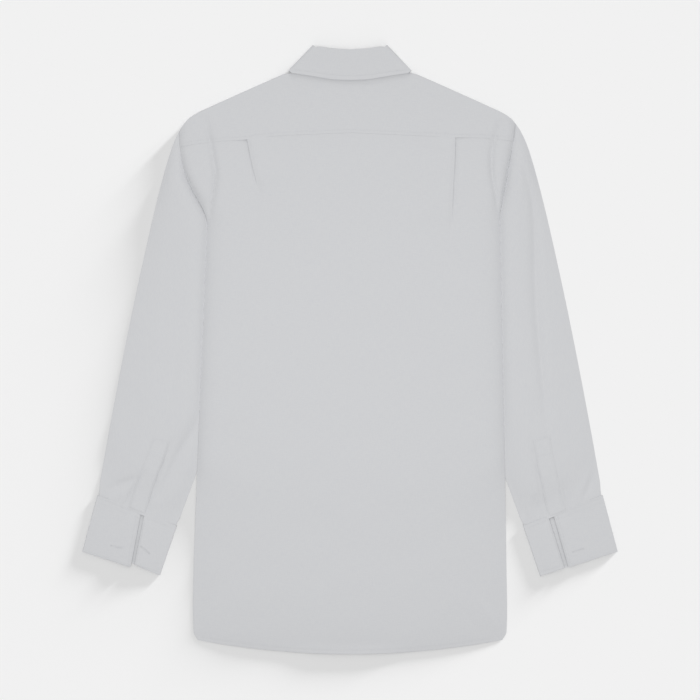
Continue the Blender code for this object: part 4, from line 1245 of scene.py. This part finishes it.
def makeButtonMesh():
    # Turned from its profile, with four holes bored through
    bm = bmesh.new()
    verts = [bm.verts.new(Vector((radius, 0.0, height)) * mm(1)) for radius, height in buttonProfile]
    edges = [bm.edges.new(pair) for pair in zip(verts, verts[1:])]
    bmesh.ops.spin(bm, geom=verts + edges, axis=(0, 0, 1), cent=(0, 0, 0), steps=button["segments"],
                   angle=2 * math.pi)
    bmesh.ops.remove_doubles(bm, verts=bm.verts, dist=weld)
    bmesh.ops.recalc_face_normals(bm, faces=bm.faces)
    blank = bpy.data.meshes.new("buttonBlank")
    bm.to_mesh(blank)
    bm.free()
    turned = bpy.data.objects.new("buttonBlank", blank)
    drill = bmesh.new()
    away = button["holeSpacing"] / math.sqrt(2)
    radius = mm(button["holeDiameter"] / 2)
    for angle in cornerAngles:
        made = bmesh.ops.create_cone(drill, cap_ends=True, segments=button["holeSegments"],
                                     depth=mm(button["drillLength"]), radius1=radius, radius2=radius)
        shift = Vector((math.cos(angle), math.sin(angle), 0)) * mm(away)
        shift.z = mm(button["drillMiddle"])
        bmesh.ops.translate(drill, verts=made["verts"], vec=shift)
    holes = bpy.data.meshes.new("buttonHoles")
    drill.to_mesh(holes)
    drill.free()
    bit = bpy.data.objects.new("buttonHoles", holes)
    for helper in (turned, bit):
        bpy.context.scene.collection.objects.link(helper)
    cut = turned.modifiers.new("holes", "BOOLEAN")
    cut.operation = "DIFFERENCE"
    cut.object = bit
    depsgraph = bpy.context.evaluated_depsgraph_get()
    mesh = bpy.data.meshes.new_from_object(turned.evaluated_get(depsgraph))
    for helper in (turned, bit):
        bpy.data.objects.remove(helper, do_unlink=True)
    return mesh


def frontButtonY(number):
    return button["firstY"] - button["spacing"] * number


def makeButtons():
    mesh = makeButtonMesh()
    sites = [("buttonCollar", "button_collar", button["collarY"])]
    sites += [(f"buttonFront{k + 1}", f"button_front_{k + 1}", frontButtonY(k))
              for k in range(button["count"])]
    for name, node, y in sites:
        bm = bmesh.new()
        bm.from_mesh(mesh)
        bmesh.ops.translate(bm, verts=bm.verts, vec=(0, mm(y), 0))
        piece = addPiece(name, bm, [node], resin)
        piece.data.set_sharp_from_angle(angle=math.radians(button["sharpAngle"]))


# Sewing

stitch = {
    "pitch": 3.0,              # eight or nine stitches to the inch
    "share": 0.72,             # of the pitch that shows, the rest dips into the cloth
    "radius": 0.20,
    "proud": 0.06,             # middle of the thread above the cloth
    "floor": 0.02,             # and its lowest height
    "tallest": 0.8,            # a stitch over a higher step is left out
    "yokeAbove": 4.5,          # the row above the yoke seam, and its ends
    "yokeEnds": (-234.0, 225.0),
    "hemBack": 6.0,            # the rows above the hem, and their ends
    "hemFront": 8.0,
    "hemEnds": (-209.0, 209.0),
    "placketOut": 12.0,        # the rows beside the centre front, and their ends
    "placketEnds": (312.0, -418.0),
    "collarTurn": 0.93,        # the collar's front row turns in toward the roll here
    "collarHook": (5.0, 2.0),
}
cuffRows = {                   # shares of the cuff's length and width
    "outerTop": 0.030,
    "second": 0.075,           # from the first row to the second
    "outerEnd": 0.925,
    "outerEdges": (0.02, 0.975),       # past the slit, and at the fold
    "slit": 0.045,             # the row along the slit, in from it
    "inner": (0.06, 0.88),
    "innerEdges": (0.04, 0.03),        # in from the fold and from the slit
}
towerRows = {"edges": (0.08, 0.92), "low": 7.0, "high": 2.0, "box": 22.0}
buttonhole = {
    "length": 15.0,
    "cuffLength": 14.0,
    "pitch": 0.55,
    "reach": (0.25, 1.25),     # each stitch runs from here to here beside the slit
    "barCount": 4,
    "barPitch": 0.3,
    "low": 1.5,                # its middle lies this far below its button's
    "cuffRadius": 0.11,        # of the finer thread on the cuffs
    "onePiece": 9.0,           # pitch that leaves each of their stitches in one piece
}
capsule = (                    # place along a stitch, thickness and height shares
    (0.0, 0.35, -0.9), (0.22, 0.9, 0.3), (0.5, 1.0, 0.6), (0.78, 0.9, 0.3), (1.0, 0.35, -0.9))


def spread(points, pitch):
    # Pairs of points along a line, a stitch at a time
    lengths = [math.dist(a, b) for a, b in zip(points, points[1:])]
    total = sum(lengths)
    count = max(int(total / pitch), 1)
    marks = []
    for k in range(2 * count + 1):
        left = total * k / (2 * count)
        at = 0
        while at < len(lengths) - 1 and left > lengths[at]:
            left -= lengths[at]
            at += 1
        marks.append(mixPoint(points[at], points[at + 1], left / lengths[at]))
    return [(marks[2 * k], marks[2 * k + 2]) for k in range(count)]


def addStitch(bm, start, end, surfaces, fromBelow, radius):
    way = unit((end[0] - start[0], end[1] - start[1]))
    rings = []
    for place, thick, high in capsule:
        x, y = mixPoint(start, end, place)
        top = heightAt(surfaces, x, y, fromBelow)
        if top is None:
            return
        rings.append((x, y, top, radius * thick, radius * high))
    middle = rings[len(rings) // 2][2]
    if max(abs(ring[2] - middle) for ring in rings) > stitch["tallest"]:
        return
    made = []
    for x, y, top, thick, high in rings:
        sign = -1 if fromBelow else 1
        circle = []
        for angle in cornerAngles:
            out = thick * math.cos(angle)
            up = thick * math.sin(angle) + (high + stitch["proud"]) * sign
            height = max(top + up, stitch["floor"])
            circle.append(bm.verts.new((mm(x - way[1] * out), mm(y + way[0] * out), mm(height))))
        made.append(circle)
    for first, second in zip(made, made[1:]):
        for k in range(4):
            bm.faces.new((first[k], first[(k + 1) % 4], second[(k + 1) % 4], second[k]))
    bm.faces.new(made[0])
    bm.faces.new(made[-1])


def addSewing(name, lines, surfaces, fromBelow=False, pitch=None, radius=None, share=None):
    # One joined piece for each run of stitches along its lines
    bm = bmesh.new()
    for line in lines:
        for start, end in spread(line, pitch or stitch["pitch"]):
            end = mixPoint(start, end, share or stitch["share"])
            addStitch(bm, start, end, surfaces, fromBelow, radius or stitch["radius"])
    bmesh.ops.recalc_face_normals(bm, faces=bm.faces)
    return addPiece(name, bm, [], thread)


def buttonholeLines(centre, way, length):
    # Close stitches across both sides of a slit, and a bar over each of its ends
    across = (-way[1], way[0])
    near, far = buttonhole["reach"]

    def crossing(at, *ends):
        base = (centre[0] + way[0] * at, centre[1] + way[1] * at)
        return [(base[0] + across[0] * end, base[1] + across[1] * end) for end in ends]
    lines = [crossing(-length / 2 + buttonhole["pitch"] * k, side * near, side * far)
             for side in (-1, 1) for k in range(int(length / buttonhole["pitch"]) + 1)]
    lines += [crossing(end * (length / 2 + buttonhole["barPitch"] + buttonhole["barPitch"] * k), -far, far)
              for end in (-1, 1) for k in range(buttonhole["barCount"])]
    return lines


def cuffPoint(side, across, down):
    top = mixPoint(cuff["topInner"], cuff["topOuter"], across)
    end = mixPoint(cuff["endInner"], cuff["endOuter"], across)
    x, y = mixPoint(top, end, down)
    return side * x, y


cuffHoles = {                  # centre x, y and way of the buttonholes that show on each cuff
    -1: (((-327.0, -275.0), (1.0, -0.21)), ((-286.5, -279.5), (0.77, -0.64))),
    1: (((319.0, -280.0), (-1.0, -0.31)),),
}


def makeBodySewing(made):
    body = surfaceOf(made["back"], made["yoke"])
    yokeLine = [(x, along(yokeSeam, x) + stitch["yokeAbove"]) for x in steps(90, *stitch["yokeEnds"])]
    addSewing("sewingYoke", [yokeLine], body)
    hemLine = [(x, hemY(x) + stitch["hemBack"]) for x in steps(80, *stitch["hemEnds"])]
    addSewing("sewingHemBack", [hemLine], body)
    hemLine = [(x, hemY(x) + stitch["hemFront"]) for x in steps(80, *stitch["hemEnds"])]
    fronts = surfaceOf(*made["fronts"], made["placket"])
    addSewing("sewingHemFront", [hemLine], fronts, fromBelow=True)

    placketLines = [[(side * stitch["placketOut"], y) for y in steps(160, *stitch["placketEnds"])]
                    for side in (-1, 1)]
    for k in range(button["count"]):
        placketLines += buttonholeLines((0.0, frontButtonY(k) - buttonhole["low"]), (0.0, 1.0),
                                        buttonhole["length"])
    addSewing("sewingPlacket", placketLines, fronts, fromBelow=True)


def makeCollarSewing(made):
    leaf = surfaceOf(made["leaf"])
    backLine, frontLines = [], {-1: [], 1: []}
    for side, turn, _, (rollX, rollY, _, _, edgeX, edgeY) in collarRing():
        length = math.dist((rollX, rollY), (edgeX, edgeY))
        x, y = mixPoint((rollX, rollY), (edgeX, edgeY), 1.0 - collar["stitchIn"] / length)
        if turn == 1.0:
            backLine.append((side * x, y))
        elif turn == -1.0:
            frontLines[side].append((side * x, y))
    for side, line in frontLines.items():
        line.sort(key=lambda point: -point[1])
        inward = mixPoint(collarFront[-1][4:], collarFront[-1][:2], stitch["collarTurn"])
        line.append((side * (inward[0] + stitch["collarHook"][0]), inward[1] + stitch["collarHook"][1]))
    addSewing("sewingCollarBack", [backLine], leaf)
    addSewing("sewingCollarFront", list(frontLines.values()), leaf, fromBelow=True)


def makeSleeveSewing(made):
    topShare, endShare = cuffRows["outerTop"], cuffRows["outerEnd"]
    fromSlit, toFold = cuffRows["outerEdges"]
    fromFold, toSlit = cuffRows["innerEdges"]
    for side, name, piece, band, arm in zip(
            (-1, 1), ("Left", "Right"), made["cuffs"], made["towers"], made["sleeves"]):
        surface = surfaceOf(piece)
        outer, inner = cuffSplits[side]["outer"], cuffSplits[side]["inner"]
        lines = [[cuffPoint(side, across, down)
                  for across in steps(50, mix(*outer, down) + fromSlit, toFold)]
                 for down in (topShare, topShare + cuffRows["second"], endShare)]
        lines += [[cuffPoint(side, across, down)
                   for across in steps(20, fromFold, mix(*inner, down) - toSlit)]
                  for down in cuffRows["inner"]]
        lines.append([cuffPoint(side, mix(*outer, down) + cuffRows["slit"], down)
                      for down in steps(30, topShare, endShare)])
        addSewing("sewingCuff" + name, lines, surface)
        holes = []
        for centre, way in cuffHoles[side]:
            holes += buttonholeLines(centre, unit(way), buttonhole["cuffLength"])
        addSewing("sewingCuffHoles" + name, holes, surface, pitch=buttonhole["onePiece"],
                  radius=buttonhole["cuffRadius"], share=1.0)
        edge = towerEdges[side]
        low, high = edge[0][0] + towerRows["low"], edge[-1][0] - towerRows["high"]
        lines = [[towerPoint(side, across, y) for y in steps(40, low, high)]
                 for across in towerRows["edges"]]
        lines += [[towerPoint(side, across, high - down) for across in steps(12, *towerRows["edges"])]
                  for down in (0.0, towerRows["box"])]
        lines = [[(side * x, y) for x, y in line] for line in lines]
        addSewing("sewingSleevePlacket" + name, lines, surfaceOf(band, arm))


# Making the shirt

back = makeBack()
fronts = makeFronts()
placket = makeFrontPlacket()
print("body made")
shoulders = makeYoke()
collarLeaf, collarStand = makeCollar()
print("yoke and collar made")
cuffs = makeCuffs()
sleeves = makeSleeves()
towers = makeTowers(sleeves)
print("sleeves made")
makeButtons()
made = {"back": back, "fronts": fronts, "placket": placket, "yoke": shoulders,
        "leaf": collarLeaf, "cuffs": cuffs, "sleeves": sleeves, "towers": towers}
makeBodySewing(made)
makeCollarSewing(made)
makeSleeveSewing(made)
print("buttons and sewing made")


# Floor, light and camera

def makeFloor():
    # A sweep of pale matt paper
    bm = bmesh.new()
    bmesh.ops.create_grid(bm, x_segments=1, y_segments=1, size=studio["floorHalf"])
    mesh = bpy.data.meshes.new("floor")
    bm.to_mesh(mesh)
    bm.free()
    floor = bpy.data.objects.new("floor", mesh)
    bpy.context.scene.collection.objects.link(floor)
    paper, _, _ = newMaterial("paleBackdropPaper", {
        "Base Color": hexColour("#F1F1F1"), "Roughness": 0.95, "Specular IOR Level": 0.0})
    mesh.materials.append(paper)
    floor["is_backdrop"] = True
    return floor


studio = {
    "skyShare": 0.55,          # each light's share of what reaches the floor or the cloth
    "boxShare": 0.35,
    "bankShare": 0.245,
    "rakeShare": 0.178,
    "lowRakeShare": 0.027,
    "keyShare": 0.04,
    "keyWay": (-0.05, -1.0),   # from the collar
    "bankElevation": 90.0,     # degrees: straight down on the floor
    "bankAngle": 40.0,
    "boxHeight": 1.5,          # metres
    "boxSize": (2.0, 0.8),
    "boxPlace": (0.0, 0.03),   # a little toward the collar
    "rakeWay": (-0.70, -0.71), # from the collar's right
    "rakeElevation": 4.0,      # degrees: over the floor, for the long soft shadow
    "rakeAngle": 5.5,
    "lowRakeWay": (-0.80, -0.60),
    "lowRakeElevation": 3.0,
    "lowRakeAngle": 6.0,
    "keyElevation": 22.0,      # on the cloth, for its folds
    "keyAngle": 20.0,
    "sunAway": 3.0,            # metres
    "floorHalf": 6.0,
    "cameraHeight": 4.0,
    "frameWidth": 0.98,        # across the view at the floor
}


def placeLight(name, light, place, toward, receivers):
    lamp = bpy.data.objects.new(name, light)
    lamp.location = place
    lamp.rotation_euler = toward.to_track_quat("-Z", "Y").to_euler()
    lamp.visible_camera = False
    bpy.context.scene.collection.objects.link(lamp)
    lit = bpy.data.collections.new(name + "Receivers")
    for receiver in receivers:
        lit.objects.link(receiver)
    lamp.light_linking.receiver_collection = lit


def addSun(name, share, way, elevation, angle, receivers):
    # A distant lamp that gives a level surface this share of its light
    light = bpy.data.lights.new(name, "SUN")
    light.energy = share * math.pi / math.sin(math.radians(elevation))
    light.angle = math.radians(angle)
    wayX, wayY = unit(way)
    flat = math.cos(math.radians(elevation))
    toward = Vector((wayX * flat, wayY * flat, -math.sin(math.radians(elevation))))
    placeLight(name, light, -toward * studio["sunAway"], toward, receivers)


def addSoftbox(name, share, receivers):
    # A softbox across above the shirt, a little dimmer toward the hem and the collar
    light = bpy.data.lights.new(name, "AREA")
    light.shape = "RECTANGLE"
    light.size, light.size_y = studio["boxSize"]
    height = studio["boxHeight"]
    seen = np.mean([1.0 / (1.0 + (x * x + y * y) / height**2) ** 2
                    for x in steps(24, -light.size / 2, light.size / 2)
                    for y in steps(8, -light.size_y / 2, light.size_y / 2)])
    light.energy = share * (math.pi * height) ** 2 / seen
    place = Vector((*studio["boxPlace"], height))
    placeLight(name, light, place, Vector((0.0, 0.0, -1.0)), receivers)


def makeStudio(floor):
    world = bpy.data.worlds.new("studioLight")
    bpy.context.scene.world = world
    world.use_nodes = True
    background = world.node_tree.nodes["Background"]
    background.inputs["Color"].default_value = (1.0, 1.0, 1.0, 1.0)
    background.inputs["Strength"].default_value = studio["skyShare"]
    shirt = [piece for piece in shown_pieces() if piece.type == "MESH"]
    addSun("floorBank", studio["bankShare"], studio["keyWay"], studio["bankElevation"],
           studio["bankAngle"], [floor])
    addSun("floorRake", studio["rakeShare"], studio["rakeWay"], studio["rakeElevation"],
           studio["rakeAngle"], [floor])
    addSun("floorLowRake", studio["lowRakeShare"], studio["lowRakeWay"],
           studio["lowRakeElevation"], studio["lowRakeAngle"], [floor])
    addSoftbox("overheadSoftbox", studio["boxShare"], shirt)
    addSun("clothKey", studio["keyShare"], studio["keyWay"], studio["keyElevation"],
           studio["keyAngle"], shirt)

    lens = bpy.data.cameras.new("overheadCamera")
    lens.sensor_width = 36.0
    lens.lens = lens.sensor_width * studio["cameraHeight"] / studio["frameWidth"]
    lens.clip_end = 50.0
    camera = bpy.data.objects.new("overheadCamera", lens)
    camera.location = (0.0, 0.0, studio["cameraHeight"])
    bpy.context.scene.collection.objects.link(camera)
    bpy.context.scene.camera = camera
    bpy.context.scene.view_settings.view_transform = "Standard"


makeStudio(makeFloor())
print("studio made")

sheetFacts = (                 # piece, width and length of its cut, its area, how held, rests on
    (back, (0.55, 0.735), 0.315, "laid", ["front_left", "front_right"]),
    (shoulders, (0.48, 0.155), 0.0455, "laid", ["back_panel"]),
    (fronts[0], (0.255, 0.78), 0.172, "laid", ["floor"]),
    (fronts[1], (0.255, 0.78), 0.172, "laid", ["front_left"]),
    (placket, (0.035, 0.737), 0.0258, "laid", ["button_front_1"]),
    (collarLeaf, (0.46, 0.075), 0.0193, "folded", ["yoke"]),
    (collarStand, (0.44, 0.032), 0.0092, "folded", ["collar_leaf"]),
    (sleeves[0], (0.44, 0.53), 0.128, "laid", ["floor"]),
    (sleeves[1], (0.44, 0.53), 0.128, "laid", ["floor"]),
    (cuffs[0], (0.231, 0.166), 0.0347, "folded", ["floor"]),
    (cuffs[1], (0.231, 0.166), 0.0347, "folded", ["floor"]),
    (towers[0], (0.024, 0.107), 0.0025, "laid", ["sleeve_left"]),
    (towers[1], (0.024, 0.107), 0.0025, "laid", ["sleeve_right"]),
)
for piece, flat, area, held, under in sheetFacts:
    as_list(under)
